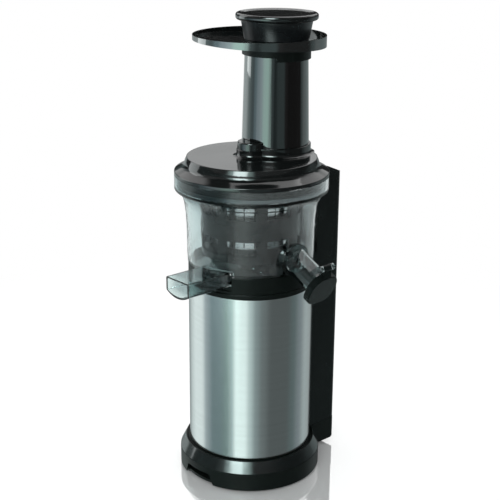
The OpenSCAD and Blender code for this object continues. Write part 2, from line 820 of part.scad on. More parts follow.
module stator_windings() color(copper) {
    head = 9;
    translate([0, 0, motor_z - 1]) linear_extrude(core_h + 2) stator_slots(-0.2);
    for (z = [motor_z - head, motor_z + core_h + 1]) translate([0, 0, z]) rotate_extrude()
        polygon(concat(
            arc([slot_low_r + 1.7, 1.5], 1.5, 270, 180, 3),
            arc([slot_low_r + 1.7, head - 2.5], 1.5, 180, 90, 3),
            arc([slot_high_r - 1.7, head - 2.5], 1.5, 90, 0, 3),
            arc([slot_high_r - 1.7, 1.5], 1.5, 0, -90, 3)));
}

module motor_rotor() color(steel) {
    translate([0, 0, motor_z]) cylinder(r = rotor_r, h = core_h);
    // end rings of the cage, and the shaft with its pinion
    for (z = [motor_z - 4, motor_z + core_h]) translate([0, 0, z]) ring(rotor_r - 1.4, 13, 4);
    translate([0, 0, fan_z - 2]) cylinder(r = motor_shaft_r, h = stage_1_z - 1.5 - fan_z + 2);
    translate([0, 0, stage_1_z - 1.6]) gear(module_1, pinion_teeth, stage_1_h + 1.8, 180);
}

module cooling_fan() color(nylon) {
    blades = 11;
    difference() {
        union() {
            translate([0, 0, fan_z]) cylinder(r = 8, h = fan_h);
            translate([0, 0, fan_z + fan_h - 1.6]) cylinder(r = fan_r, h = 1.6);
            for (i = [0:blades - 1]) rotate(360 * i / blades) translate([6, -0.8, fan_z])
                cube([fan_r - 6.4, 1.6, fan_h - 1]);
        }
        translate([0, 0, fan_z - 1]) cylinder(r = motor_shaft_r + 0.02, h = fan_h + 2);
    }
}

module run_capacitor() color(nylon) {
    translate([capacitor_x, 0, bracket_z + bracket_t]) {
        cylinder(r = capacitor_r, h = 38);
        for (y = [-3, 3]) translate([-2.5, y - 0.4, 38]) cube([5, 0.8, 6]);
    }
}

module ball_bearings() color(steel) {
    translate([0, 0, bracket_z]) bearing(bearing_or, motor_shaft_r + fit, bearing_h - 0.1);
    translate([0, 0, gearbox_z - 2]) bearing(bearing_or, motor_shaft_r + fit, bearing_h - 0.1);
    translate([0, 0, gearbox_top - 2]) bearing(output_bearing_or, output_r + fit, bearing_h - 0.1);
}

module gearbox_housing() color(steel) {
    difference() {
        union() {
            translate([0, 0, gearbox_z]) cylinder(r = gearbox_r, h = gearbox_top - gearbox_z);
            at_ring(bolt_ring_r, 4, 45) translate([0, 0, motor_z + core_h])
                cylinder(r = 4, h = gearbox_z - motor_z - core_h + 1);
            translate([0, 0, gearbox_z - 4]) cylinder(r = bearing_or + 3, h = 5);
        }
        difference() {
            translate([0, 0, gearbox_z + gearbox_t]) cylinder(r = gearbox_in_r, h = 60);
            at_ring(collar_screw_ring, 3) cylinder(r = 4.5, h = gearbox_top);
            at_ring(collar_screw_ring + 4, 3) translate([0, -2, 0]) cube([3, 4, gearbox_top]);
        }
        at_ring(collar_screw_ring, 3) translate([0, 0, gearbox_z - 1])
            cylinder(r = screw_r, h = 60, $fn = 24);
        translate([0, 0, gearbox_z - 5]) cylinder(r = bearing_or + seat_gap, h = 3 + bearing_h);
        translate([0, 0, gearbox_z - 6]) cylinder(r = motor_shaft_r + 1, h = 20);
        translate([-layshaft_x, 0, gearbox_z - 1]) cylinder(r = layshaft_pin_r, h = 10);
        at_ring(bolt_ring_r, 4, 45) translate([0, 0, motor_z + core_h - 1])
            cylinder(r = bolt_r + seat_gap, h = gearbox_z + 2 - motor_z - core_h + 1);
    }
}

module gearbox_cover() color(steel) {
    difference() {
        union() {
            translate([0, 0, gearbox_top]) cylinder(r = gearbox_r, h = gearbox_lid_t);
            translate([0, 0, gearbox_top - 2]) cylinder(r = output_bearing_or + 3, h = 3);
        }
        translate([0, 0, gearbox_top - 3]) cylinder(r = output_bearing_or + seat_gap, h = bearing_h + 1);
        translate([0, 0, gearbox_top - 3]) cylinder(r = output_r + 1, h = 20);
        translate([-layshaft_x, 0, gearbox_top - 5]) cylinder(r = layshaft_pin_r, h = 7);
        at_ring(collar_screw_ring, 3) translate([0, 0, gearbox_top - 1])
            cylinder(r = screw_r, h = 12, $fn = 24);
    }
}

module gearbox_screws() color(steel) {
    head_h = 2.2;
    at_ring(collar_screw_ring, 3) {
        translate([0, 0, gearbox_z - head_h]) cylinder(r = 3, h = head_h, $fn = 32);
        translate([0, 0, gearbox_z])
            cylinder(r = screw_r - 0.02, h = gearbox_top + 10 - gearbox_z, $fn = 24);
    }
}

module layshaft_pin() color(steel) {
    translate([-layshaft_x, 0, gearbox_z])
        cylinder(r = layshaft_pin_r - 0.01, h = gearbox_top + 2 - gearbox_z);
}

module layshaft_gear() color(nylon) {
    translate([-layshaft_x, 0, 0]) difference() {
        union() {
            translate([0, 0, stage_1_z]) gear(module_1, layshaft_teeth, stage_1_h, 180 / layshaft_teeth);
            translate([0, 0, stage_1_z + 1])
                gear(module_2, layshaft_pinion_teeth, stage_2_z + stage_2_h + 0.5 - stage_1_z - 1,
                     180 / layshaft_pinion_teeth);
        }
        translate([0, 0, stage_1_z - 1]) cylinder(r = layshaft_pin_r + fit, h = 40);
        at_ring(13.5, 6) translate([0, 0, stage_1_z - 1]) cylinder(r = 4, h = 20);
    }
}

module output_gear() color(steel) {
    translate([0, 0, stage_2_z]) difference() {
        gear(module_2, output_teeth, stage_2_h, 180);
        translate([0, 0, -1]) cylinder(r = output_r + 0.02, h = stage_2_h + 2);
        at_ring(12.5, 6, 30) translate([0, 0, -1]) cylinder(r = 3.6, h = stage_2_h + 2);
    }
}

module drive_shaft() color(steel) {
    hex_low = 218;
    hex_top = 236;
    translate([0, 0, stage_2_z]) cylinder(r = output_r, h = hex_low - stage_2_z);
    intersection() {
        translate([0, 0, hex_low - e]) hexagon(hex_af, hex_top - hex_low);
        translate([0, 0, hex_low - 1]) union() {
            cylinder(r = hex_af, h = hex_top - hex_low - 1);
            translate([0, 0, hex_top - hex_low - 1]) cylinder(r1 = hex_af * 0.58, r2 = hex_af * 0.42, h = 2);
        }
    }
}

module shaft_bush() color(copper) {
    translate([0, 0, deck_z - 8]) ring(output_r + 2, output_r + fit, 11);
}

module shaft_seal() color(rubber) {
    translate([0, 0, deck_z + 3]) ring(9 - 0.02, output_r + fit, 4.5);
}

// ---- juicing bowl ----

// outer outline of the bowl's wall, from its foot up to the rim band
function bowl_outline() = [
    [bowl_r, bowl_seat_z], [bowl_r + 0.04 * flare, 214], [bowl_r + 0.06 * flare, 228],
    [bowl_r + 0.09 * flare, 240], [bowl_r + 0.15 * flare, 250], [bowl_r + 0.21 * flare, 255.5],
    [bowl_r + 0.29 * flare, 261], [bowl_r + 0.44 * flare, 266.6], [bowl_r + 0.62 * flare, 269.4],
    [bowl_r + 0.82 * flare, 271.8], [rim_r - 1.6, rim_z - 0.6]];

module bowl_wall_solid() {
    outline = bowl_outline();
    inner = [for (i = [len(outline) - 1:-1:1])
        [outline[i][0] - bowl_wall, outline[i][1] + (i > 7 ? 1.6 : 0)]];
    rotate_extrude($fn = 180) polygon(concat(
        outline,
        arc([rim_r - 1.2, rim_z + 0.8], 1.2, -60, 0, 3),
        [[rim_r, rim_top], [rim_r - 2.4, rim_top], [rim_r - 2.4, rim_z + 2.2]],
        inner,
        [[bowl_r - bowl_wall, bowl_seat_z + 2], [tub_r - bowl_wall, bowl_seat_z + 0.5],
         [tub_r - bowl_wall, tub_z], [tub_r, tub_z], [tub_r, bowl_seat_z]]));
}

// section of the spout: flat top, upright sides and a bowed underside
module spout_section(inset = 0) {
    w = spout_w / 2 - inset;
    side = 12.2;
    bow = spout_depth - side - inset;
    bow_r = (w * w + bow * bow) / (2 * bow);
    corner = 1.4;
    translate([0, -side]) square([2 * w, 0.02], center = true);
    translate([-w, -side]) square([2 * w, side - corner]);
    translate([-w + corner, -side]) square([2 * (w - corner), side - inset]);
    for (x = [-1, 1]) translate([x * (w - corner), -corner - inset]) circle(r = corner, $fn = 32);
    intersection() {
        translate([0, -side - bow + bow_r]) circle(r = bow_r, $fn = 160);
        translate([-w, -side - bow - 1]) square([2 * w, bow + 1 + e]);
    }
}

module spout_run(inset, from, to) {
    translate([spout_x, -from, spout_top]) rotate([90, 0, 0]) linear_extrude(to - from) spout_section(inset);
}

// places its children in the chute's frame: X down the chute, Z square to it
module in_chute() {
    translate(chute_c) rotate([0, chute_slope, 0]) children();
}

module chute_run(w, h, r, from, to) {
    in_chute() translate([from, 0, 0]) rotate([90, 0, 90]) linear_extrude(to - from) round_rect(w, h, r);
}

// everything above height low, and everything outside radius r
module outside_or_above(r, low) {
    drop = spout_depth + 2;
    translate([0, 0, low]) cylinder(r = 2 * spout_y, h = spout_top + 2 - low);
    translate([0, 0, spout_top - drop]) ring(2 * spout_y, r, drop + 2, $fn = 180);
}

module juicing_bowl() color(clear) {
    difference() {
        union() {
            bowl_wall_solid();
            // floor, raised drum and chimney round the drive shaft
            rotate_extrude() polygon([
                [drum_r - 2, tub_z], [tub_r - 1, tub_z], [tub_r - 1, floor_z], [drum_r, floor_z],
                [drum_r, drum_top], [chimney_r, drum_top], [chimney_r, chimney_top],
                [chimney_bore, chimney_top], [chimney_bore, drum_top - 2.5], [drum_r - 2, drum_top - 2.5]]);
            // covered duct from the pulp port to the chute
            translate([port_x[0] - 2, -duct_half_w, tub_z])
                cube([duct_end - port_x[0], 2 * duct_half_w, drum_top - tub_z]);
            intersection() {
                translate([duct_end - 2.5, -duct_half_w, tub_z]) cube([20, 2 * duct_half_w, 29.5]);
                union() {
                    translate([0, 0, tub_z]) cylinder(r = tub_r - e, h = 40);
                    translate([0, 0, bowl_seat_z]) cylinder(r = bowl_r - 0.5, h = 30);
                }
            }
            // spout: over the collar's deck inside the rim, deeper outside it
            difference() {
                intersection() {
                    spout_run(0, spout_root, spout_y);
                    outside_or_above(spout_step_r, tub_z);
                }
                translate([0, 0, tub_z - 1]) cylinder(r = tub_r - 1, h = 40, $fn = 180);
            }
            // post for the idler's pin
            translate([idler_x, 0, drum_top - 8]) cylinder(r = 4.5, h = 8);
        }
        intersection() {
            spout_run(2, spout_root - 1, spout_y + 1);
            outside_or_above(spout_step_r + 2, floor_z);
        }
        // pulp duct, port and mouth of the chute
        translate([port_x[0], -duct_half_w + 2, floor_z])
            cube([tub_r - bowl_wall - 1 - port_x[0], 2 * duct_half_w - 4, drum_top - 2.5 - floor_z]);
        translate([port_x[0], -port_half_w, floor_z]) cube([port_x[1] - port_x[0], 2 * port_half_w, 20]);
        translate([duct_end - 0.5, -duct_half_w + 2, floor_z])
            cube([tub_r - bowl_wall - duct_end - 0.5, 2 * duct_half_w - 4, 24]);
        translate([duct_end - 0.5, -duct_half_w + 2, bowl_seat_z + 2])
            cube([bowl_r - bowl_wall - duct_end + 0.5, 2 * duct_half_w - 4, 24 - bowl_seat_z - 2 + floor_z]);
        chute_bore();
        translate([idler_x, 0, drum_top - 6]) cylinder(r = idler_bore - 0.5, h = 10);
    }
}

module chute_bore() {
    chute_run(chute_w - 4, chute_h - 4, chute_corner - 2, -19, chute_len + 1);
}

// pulp chute, seated on the outside of the bowl's wall by an oval flange
module pulp_chute() color(clear) {
    flange_z = chute_c[2] + (chute_c[0] - bowl_r) * tan(chute_slope);
    root = fit;
    difference() {
        union() {
            chute_run(chute_w, chute_h, chute_corner, -30, chute_len);
            intersection() {
                translate([0, 0, bowl_seat_z]) cylinder(r = bowl_r + 2.4, h = 60, $fn = 180);
                translate([bowl_r - 10, 0, flange_z]) rotate([90, 0, 90]) linear_extrude(20)
                    round_rect(chute_flange[0], chute_flange[1], chute_flange[1] / 2 - 0.5);
            }
            chute_ears();
        }
        rotate_extrude($fn = 180) polygon(concat(
            [[0, bowl_seat_z - 60], [shell_r + 1, bowl_seat_z - 60], [shell_r + 1, bowl_seat_z - 0.2],
             [bowl_r + root, bowl_seat_z - 0.2]],
            [for (q = bowl_outline()) [q[0] + root, q[1]]],
            [[0, rim_z]]));
        translate([-base_r, -base_r, bowl_seat_z - 60]) cube([base_r + 20, 2 * base_r, 120]);
        chute_bore();
        in_chute() translate([hinge_at[0], 0, hinge_at[1]]) rotate([90, 0, 0])
            cylinder(r = hinge_pin_r + seat_gap, h = 40, center = true, $fn = 32);
    }
}

// two ears on the chute carry the flap's hinge pin
module chute_ears() {
    ear_t = 3.4;
    for (y = [-1, 1]) in_chute() translate([0, y * 6.4, 0]) rotate([90, 0, 0])
        translate([0, 0, -ear_t / 2]) linear_extrude(ear_t) {
            translate(hinge_at) circle(r = hinge_r, $fn = 48);
            polygon([[hinge_at[0] - 9, chute_h / 2 - 1], [hinge_at[0] - 3, hinge_at[1] + 0.6],
                     [hinge_at[0] + 1, hinge_at[1] - hinge_r + 0.2], [hinge_at[0] - 5, chute_h / 2 - 1]]);
        }
}

module bowl_seal() color(silicone) {
    translate([0, 0, drum_top - 2]) ring(chimney_bore - 0.02, 5.2, 4);
}

module idler_pin() color(steel) {
    translate([idler_x, 0, drum_top - 6]) {
        cylinder(r = idler_bore - 0.51, h = 6);
        translate([0, 0, 6]) cylinder(r = idler_bore - fit, h = gear_h + 0.6);
    }
}

module idler_gear() color(nylon) {
    translate([idler_x, 0, gear_z]) difference() {
        gear(brush_module, idler_teeth, gear_h - gap, 180 / idler_teeth);
        translate([0, 0, -1]) cylinder(r = idler_bore, h = gear_h + 2);
    }
}

// ---- flap cap of the chute ----

module chute_cap() color(dark) {
    front = chute_len + 1.5 + cap_face;
    back = front - cap_depth;
    in_chute() {
        difference() {
            union() {
                translate([back, 0, cap_z]) rotate([90, 0, 90])
                    linear_extrude(cap_depth - 1) round_rect(cap_w, cap_h, cap_r);
                translate([back + cap_depth - 1 - e, 0, cap_z]) rotate([90, 0, 90])
                    linear_extrude(1) round_rect(cap_w - 1.6, cap_h - 1.6, cap_r - 0.8);
                // knuckle between the chute's ears
                rotate([90, 0, 0]) translate([0, 0, -4.3]) linear_extrude(8.6) {
                    translate(hinge_at) circle(r = hinge_r, $fn = 48);
                    polygon([[hinge_at[0] + 0.6, hinge_at[1] + hinge_r - 0.2],
                             [front - 1, cap_h / 2 + cap_z - 1], [front - 4, cap_h / 2 + cap_z - 3],
                             [hinge_at[0] + 1.2, hinge_at[1] - hinge_r + 0.4]]);
                }
            }
            translate([back - 1, 0, cap_z]) rotate([90, 0, 90])
                linear_extrude(cap_depth - cap_face + 1) round_rect(cap_w - 4.4, cap_h - 4.4, cap_r - 2.2);
            translate([hinge_at[0], 0, hinge_at[1]]) rotate([90, 0, 0])
                cylinder(r = hinge_pin_r + fit, h = 40, center = true, $fn = 32);
        }
    }
}

module chute_cap_seal() color(silicone) {
    in_chute() translate([chute_len + gap, 0, 0]) rotate([90, 0, 90])
        linear_extrude(1.5 - gap) round_rect(chute_w, chute_h, chute_corner);
}

module chute_hinge_pin() color(steel) {
    in_chute() translate([hinge_at[0], 0, hinge_at[1]]) rotate([90, 0, 0])
        cylinder(r = hinge_pin_r, h = 17, center = true, $fn = 32);
}

// ---- strainer and brush ----

module strainer_frame() color(dark) {
    difference() {
        union() {
            translate([0, 0, plate_z]) cylinder(r = rib_r, h = plate_t);
            // pedestal round the auger's gear, open towards the idler
            difference() {
                translate([0, 0, drum_top]) ring(16.6, 14.8, plate_z - drum_top + e);
                translate([-30, -11.5, drum_top - 1]) cube([30, 23, 20]);
            }
            translate([port_x[0] - port_t + 0.5, -port_half_w - port_t + 0.5, drum_top])
                cube([port_x[1] - port_x[0] + 2 * port_t - 1, 2 * (port_half_w + port_t) - 1,
                      plate_z - drum_top + e]);
            for (i = [0:ribs - 1]) rotate(22.5 + 360 * i / ribs)
                translate([strainer_r + sleeve_t + seat_gap, -1.4, plate_top - e])
                    cube([1.9 - seat_gap, 2.8, strainer_top - plate_top]);
            for (k = [0, 0.36, 0.68]) translate([0, 0, plate_top + k * (strainer_top - plate_top)])
                ring(rib_r, strainer_r + sleeve_t + seat_gap, 2);
            translate([0, 0, strainer_top - 3]) ring(rib_r + 3, strainer_r + 0.1, 3);
        }
        translate([0, 0, drum_top - 1]) cylinder(r = journal_r + gap, h = 30);
        translate([port_x[0] + 0.5, -port_half_w, drum_top - 1])
            cube([port_x[1] - port_x[0] - 1, 2 * port_half_w, 20]);
        translate([0, 0, strainer_top - 3 - e])
            cylinder(r = strainer_r + sleeve_t + seat_gap, h = 1.5 + e);
    }
}

module strainer_sleeve() color(steel) {
    rows = 4;
    per_row = 24;
    slot_h = 9;
    pitch = 12.6;
    difference() {
        translate([0, 0, plate_top]) ring(strainer_r + sleeve_t, strainer_r, strainer_top - 1.5 - plate_top);
        for (row = [0:rows - 1], i = [0:per_row - 1]) rotate(7.5 + 360 * i / per_row)
            translate([strainer_r - 1, -0.6, plate_top + 3.5 + pitch * row]) cube([3, 1.2, slot_h]);
    }
}

module brush_holder() color(dark) {
    in_r = brush_r - brush_t;
    ring_top = gear_z + gear_h;
    difference() {
        union() {
            translate([0, 0, gear_z]) cylinder(r = brush_r - 1, h = gear_h);
            translate([0, 0, gear_z]) ring(brush_r, in_r, brush_top - gear_z);
            translate([0, 0, brush_top - 3]) ring(brush_r + 1.2, in_r, 3);
        }
        translate([0, 0, gear_z - 1]) linear_extrude(gear_h + 2)
            polygon(gear_outline(brush_module, ring_teeth, 1.15, 0.8, 2 - tooth_fill,
                                 180 + 180 / ring_teeth));
        for (row = window_z, i = [0:windows - 1]) rotate(window_turn + 360 * i / windows)
            translate([in_r - 2, -13.2, max(row[0], ring_top + 0.4)])
                cube([brush_t + 4, 26.4, row[1]]);
    }
}

module brush_wipers() color(silicone) {
    in_r = brush_r - brush_t;
    blade = 1.4;
    blade_low = gear_z + gear_h + 3.5;
    for (i = [0:windows - 1]) rotate(window_turn + 180 / windows + 360 * i / windows)
        translate([rib_r + gap + 0.1, -blade / 2, blade_low])
            cube([in_r - rib_r - gap - 0.1 - fit, blade, brush_top - 6 - blade_low]);
}

// ---- auger ----

// radius of the auger's hub, swelling downwards to squeeze the pulp
function hub_r(z) =
    let (t = (z - screw_low) / (screw_top - screw_low))
    hub_low_r + (hub_high_r - hub_low_r) * pow(t, 0.7);

// height of the flights over the hub at angle a and height z: one broad helix
// over the whole length and a second start that fades in over the lower half
function flight(a, z) =
    let (
        turn = a / 360 - z / flight_pitch,
        near_1 = abs(turn - round(turn)),
        near_2 = abs(turn + 0.5 - round(turn + 0.5)),
        low = min(1, max(0, (0.62 - (z - screw_low) / (screw_top - screw_low)) / 0.2)),
        edge = flight_share / 2
    )
    max(flight_step(near_1, edge), 0.85 * low * flight_step(near_2, edge * 0.8));

// flat crest with steep flanks
function flight_step(d, edge) = d < edge * 0.55 ? 1 : d < edge ? (edge - d) / (edge * 0.45) : 0;

module auger_screw() color(dark) {
    around = 48;
    up = 42;
    bore = (core_r + seat_gap) / cos(180 / around);
    height = screw_top - screw_low;
    outer = [for (j = [0:up], i = [0:around - 1])
        let (a = 360 * i / around, z = screw_low + height * j / up, hub = hub_r(z),
             crown = min(auger_r, hub + 2 + (screw_top - z) * 1.1 + 6),
             r = hub + (crown - hub) * flight(a, z))
        [r * cos(a), r * sin(a), z]];
    inner = [for (z = [screw_low, screw_top], i = [0:around - 1])
        let (a = 360 * i / around) [bore * cos(a), bore * sin(a), z]];
    n = around;
    first = (up + 1) * n;
    polyhedron(concat(outer, inner), concat(
        [for (j = [0:up - 1], i = [0:n - 1]) let (k = (i + 1) % n)
            each [[j * n + i, (j + 1) * n + i, (j + 1) * n + k], [j * n + i, (j + 1) * n + k, j * n + k]]],
        [for (i = [0:n - 1]) let (k = (i + 1) % n) [first + i, first + k, first + n + k, first + n + i]],
        [for (i = [0:n - 1]) let (k = (i + 1) % n) each [[i, k, first + k], [i, first + k, first + i]]],
        [for (i = [0:n - 1]) let (k = (i + 1) % n)
            each [[up * n + i, first + n + i, first + n + k], [up * n + i, first + n + k, up * n + k]]]),
        convexity = 10);
}

module auger_gear() color(nylon) {
    difference() {
        union() {
            translate([0, 0, gear_z]) gear(brush_module, auger_teeth, gear_h, 180);
            translate([0, 0, gear_z + gear_h - e])
                cylinder(r = journal_r, h = journal_top - gear_z - gear_h + e);
        }
        translate([0, 0, gear_z - 1]) cylinder(r = chimney_r + 0.4, h = 20);
    }
}

module auger_shaft() color(steel) {
    difference() {
        union() {
            translate([0, 0, journal_top]) cylinder(r = core_r, h = screw_top + 1.5 - journal_top);
            translate([0, 0, screw_top]) cylinder(r = auger_pin_r, h = pin_len);
            translate([0, 0, screw_top + pin_len]) cylinder(r1 = auger_pin_r, r2 = auger_pin_r - 1, h = 1);
        }
        translate([0, 0, journal_top - e]) hexagon(hex_af + 2 * gap, 16);
    }
}

// ---- lid and feed ----

module lid() color(black) {
    difference() {
        union() {
            rotate_extrude($fn = 180) polygon(concat(
                [[0, lid_low - 7], [skirt_r, lid_low - 7], [skirt_r, lid_low], [rim_r, lid_low],
                 [rim_r, lid_band_top - 0.8]],
                arc([rim_r - 0.8, lid_band_top - 0.8], 0.8, 0, 70, 3),
                [[rim_r - 3.6, lid_band_top + 1.6], [rim_r - 6.4, lid_band_top + 3.2],
                 [rim_r - 8.6, lid_band_top + 4.8], [lid_disc_r + 1.2, lid_disc_z - 3.4]],
                arc([lid_disc_r - 1, lid_disc_z - 1], 1, 0, 90, 4),
                [[0, lid_disc_z]]));
            // the collar's foot carries on down over the shoulder
            intersection() {
                translate([0, tube_y, lid_band_top + 3])
                    cylinder(r = tube_collar_r, h = lid_disc_z - lid_band_top - 3);
                cylinder(r = collar_reach, h = lid_disc_z, $fn = 180);
            }
        }
        // hollow underside
        rotate_extrude($fn = 180) polygon([
            [0, skirt_z - 5], [skirt_r - skirt_t, skirt_z - 5], [skirt_r - skirt_t, lid_band_top - 0.5],
            [rim_r - 10.6, lid_band_top + 4.6], [lid_disc_r - 1.5, lid_disc_z - lid_t - 2],
            [lid_disc_r - 3, lid_disc_z - lid_t], [bush_r + 3, lid_disc_z - lid_t],
            [bush_r + 3, bush_low], [0, bush_low]]);
        feed_cut();
    }
}

// bore of the bush, with the feed tube's seat and opening, which spare the boss
module feed_cut() {
    translate([0, 0, bush_low - 1]) cylinder(r = bush_r, h = bush_top - bush_low + 1);
    difference() {
        translate([0, tube_y, 0]) {
            translate([0, 0, tube_seat_z]) cylinder(r = tube_foot_r + seat_gap, h = 40);
            translate([0, 0, tube_seat_z - 20]) cylinder(r = tube_foot_r - tube_wall - 0.3, h = 40);
        }
        cylinder(r = boss_r, h = boss_top);
    }
}

// bearing boss and collar of the feed tube, standing on the lid's disc
module lid_collar() color(black) {
    difference() {
        union() {
            rotate_extrude() polygon(concat(
                [[0, lid_disc_z], [boss_r + 4.5, lid_disc_z]],
                arc([boss_r + 4.5, lid_disc_z + 3.5], 3.5, 265, 180),
                [[boss_r + 1, lid_disc_z + 6], [boss_r + 0.3, lid_disc_z + 6.6], [boss_r, boss_top - 1.2]],
                arc([boss_r - 1.2, boss_top - 1.2], 1.2, 0, 90, 4),
                [[0, boss_top]]));
            intersection() {
                translate([0, tube_y, 0]) rotate_extrude() polygon(concat(
                    [[0, lid_disc_z], [tube_collar_r + collar_fillet, lid_disc_z]],
                    arc([tube_collar_r + collar_fillet, lid_disc_z + collar_fillet], collar_fillet,
                        265, 180),
                    arc([tube_collar_r - 1, tube_collar_top - 1], 1, 0, 90, 3),
                    [[0, tube_collar_top]]));
                translate([0, 0, lid_disc_z - 1]) cylinder(r = collar_reach, h = 20, $fn = 180);
            }
        }
        feed_cut();
    }
}

// tab that reaches over the column and presses the interlock pin
module lock_tab() color(black) {
    end_y = pin_y + 3 - lug_half_w;
    difference() {
        union() {
            translate([-lug_half_w, rim_r - 3, lug_z]) cube([2 * lug_half_w, end_y - rim_r + 3, lug_t]);
            translate([0, end_y, lug_z]) cylinder(r = lug_half_w, h = lug_t, $fn = 48);
        }
        translate([0, 0, lug_z - 1]) cylinder(r = rim_r + fit, h = lug_t + 2, $fn = 180);
    }
}

module lid_gasket() color(silicone) {
    rotate_extrude($fn = 120) polygon([
        [gasket_r - 1.6, gasket_low], [gasket_r, gasket_low], [gasket_r, gasket_top],
        [gasket_r - 1.2, gasket_top], [gasket_r - 1.6, gasket_top - 0.7],
        [gasket_r - 0.9, (gasket_low + gasket_top) / 2]]);
}

module lid_bush() color(nylon) {
    translate([0, 0, bush_low]) ring(bush_r - 0.02, auger_pin_r + fit, bush_top - bush_low - 0.5);
}

module feed_tube() color(smoke) {
    low = tube_seat_z;
    difference() {
        translate([0, tube_y, 0]) rotate_extrude($fn = 120) polygon([
            [tube_foot_r - tube_wall, low], [tube_foot_r, low], [tube_foot_r, tube_collar_top + 1],
            [tube_top_r, tube_top], [tube_top_r - tube_wall, tube_top]]);
        cylinder(r = boss_r + seat_gap, h = boss_top + seat_gap);
    }
}

// half space above the tray's sloping underside, raised by lift
module above_tray_floor(lift = 0) {
    span = 4 * tray_r;
    rotate(tray_turn) translate([0, 0, tray_mid_z + lift]) rotate([0, tray_tilt, 0])
        translate([-span / 2, -span / 2, 0]) cube([span, span, tray_r]);
}

module hopper_tray() color(black) {
    difference() {
        union() {
            translate([tray_at[0], tray_at[1], 0]) difference() {
                intersection() {
                    translate([0, 0, socket_low]) cylinder(r = tray_r, h = tray_top - socket_low, $fn = 180);
                    above_tray_floor();
                }
                intersection() {
                    translate([0, 0, socket_low]) cylinder(r = tray_r - tray_wall, h = tray_r, $fn = 180);
                    above_tray_floor(tray_floor);
                }
            }
            translate([0, tube_y, 0]) {
                translate([0, 0, socket_step]) cylinder(r = socket_r, h = tray_mid_z + 1 - socket_step);
                // longer half of the socket, under the deep side of the tray
                intersection() {
                    translate([0, 0, socket_low]) cylinder(r = socket_r, h = tube_top + 0.5 - socket_low);
                    rotate(tray_turn) translate([-4.5, -tray_r, socket_low - 1])
                        cube([tray_r, 2 * tray_r, tray_r]);
                }
                translate([0, 0, tube_top + 1]) cylinder(r = throat_r + 2, h = throat_top - tube_top - 1);
            }
        }
        translate([0, tube_y, 0]) {
            translate([0, 0, socket_low - 1]) cylinder(r = socket_bore, h = tube_top + gap - socket_low + 1);
            translate([0, 0, socket_low - 1]) cylinder(r = throat_r, h = tray_r);
        }
    }
}

module pusher_stem() color(dark) {
    flare_r = throat_r + 2.8;
    crown_r = flare_r + 2.8;
    translate([0, tube_y, 0]) rotate_extrude() polygon([
        [0, pusher_low], [pusher_r - 1.5, pusher_low], [pusher_r, pusher_low + 1.5], [pusher_r, pusher_seat],
        [flare_r - 0.4, pusher_seat], [flare_r, pusher_seat + 0.6], [crown_r, pusher_disc_z - 0.8],
        [crown_r, pusher_disc_z], [crown_r - pusher_wall, pusher_disc_z],
        [crown_r - pusher_wall, pusher_disc_z - 4],
        [pusher_r - pusher_wall, pusher_seat - 2], [pusher_r - pusher_wall, pusher_low + 2.5],
        [0, pusher_low + 2.5]]);
}

module pusher_cap() color(black) {
    dish = 0.9;
    edge_r = 0.4 * pusher_disc_h;
    plug_r = throat_r + 5.6 - pusher_wall - 0.4;
    translate([0, tube_y, 0]) rotate_extrude() polygon(concat(
        [[0, pusher_disc_z - 3], [plug_r, pusher_disc_z - 3], [plug_r, pusher_disc_z]],
        arc([pusher_disc_r - edge_r, pusher_disc_z + edge_r], edge_r, -90, 0),
        arc([pusher_disc_r - edge_r, top_z - edge_r], edge_r, 0, 90),
        [[pusher_disc_r - 4, top_z - 0.2], [pusher_disc_r - 5.6, top_z - dish], [0, top_z - dish]]));
}

base_housing();
bottom_cover();
rubber_foot();
cover_screws();
motor_shell();
top_collar();
column_housing();
rear_cover();
rear_screws();
switch_frame();
switch_body();
power_rocker();
cord_grommet();
interlock_pin();
interlock_spring();
interlock_switch();
motor_bracket();
motor_bolts();
motor_stator();
stator_windings();
motor_rotor();
cooling_fan();
run_capacitor();
ball_bearings();
gearbox_housing();
gearbox_cover();
gearbox_screws();
layshaft_pin();
layshaft_gear();
output_gear();
drive_shaft();
shaft_bush();
shaft_seal();
juicing_bowl();
pulp_chute();
bowl_seal();
idler_pin();
idler_gear();
chute_cap();
chute_cap_seal();
chute_hinge_pin();
strainer_frame();
strainer_sleeve();
brush_holder();
brush_wipers();
auger_screw();
auger_gear();
auger_shaft();
lid();
lid_collar();
lock_tab();
lid_gasket();
lid_bush();
feed_tube();
hopper_tray();
pusher_stem();
pusher_cap();
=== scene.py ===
import json
import math
import bmesh
import bpy
from mathutils import Matrix, Vector


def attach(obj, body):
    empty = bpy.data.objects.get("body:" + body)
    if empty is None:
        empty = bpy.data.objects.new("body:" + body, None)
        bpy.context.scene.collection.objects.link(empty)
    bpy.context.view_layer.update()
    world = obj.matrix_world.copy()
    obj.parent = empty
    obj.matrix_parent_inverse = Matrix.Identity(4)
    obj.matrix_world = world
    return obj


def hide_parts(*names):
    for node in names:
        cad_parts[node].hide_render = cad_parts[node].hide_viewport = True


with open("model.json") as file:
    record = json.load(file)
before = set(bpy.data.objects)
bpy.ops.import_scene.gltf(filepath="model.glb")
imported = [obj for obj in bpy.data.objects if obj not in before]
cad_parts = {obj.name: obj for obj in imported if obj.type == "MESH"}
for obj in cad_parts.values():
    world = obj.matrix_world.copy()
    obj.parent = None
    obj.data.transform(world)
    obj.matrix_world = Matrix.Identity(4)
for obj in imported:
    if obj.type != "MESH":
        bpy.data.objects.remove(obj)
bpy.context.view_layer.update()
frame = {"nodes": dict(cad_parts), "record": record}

NODES = frame["nodes"]
RECORD = frame["record"]

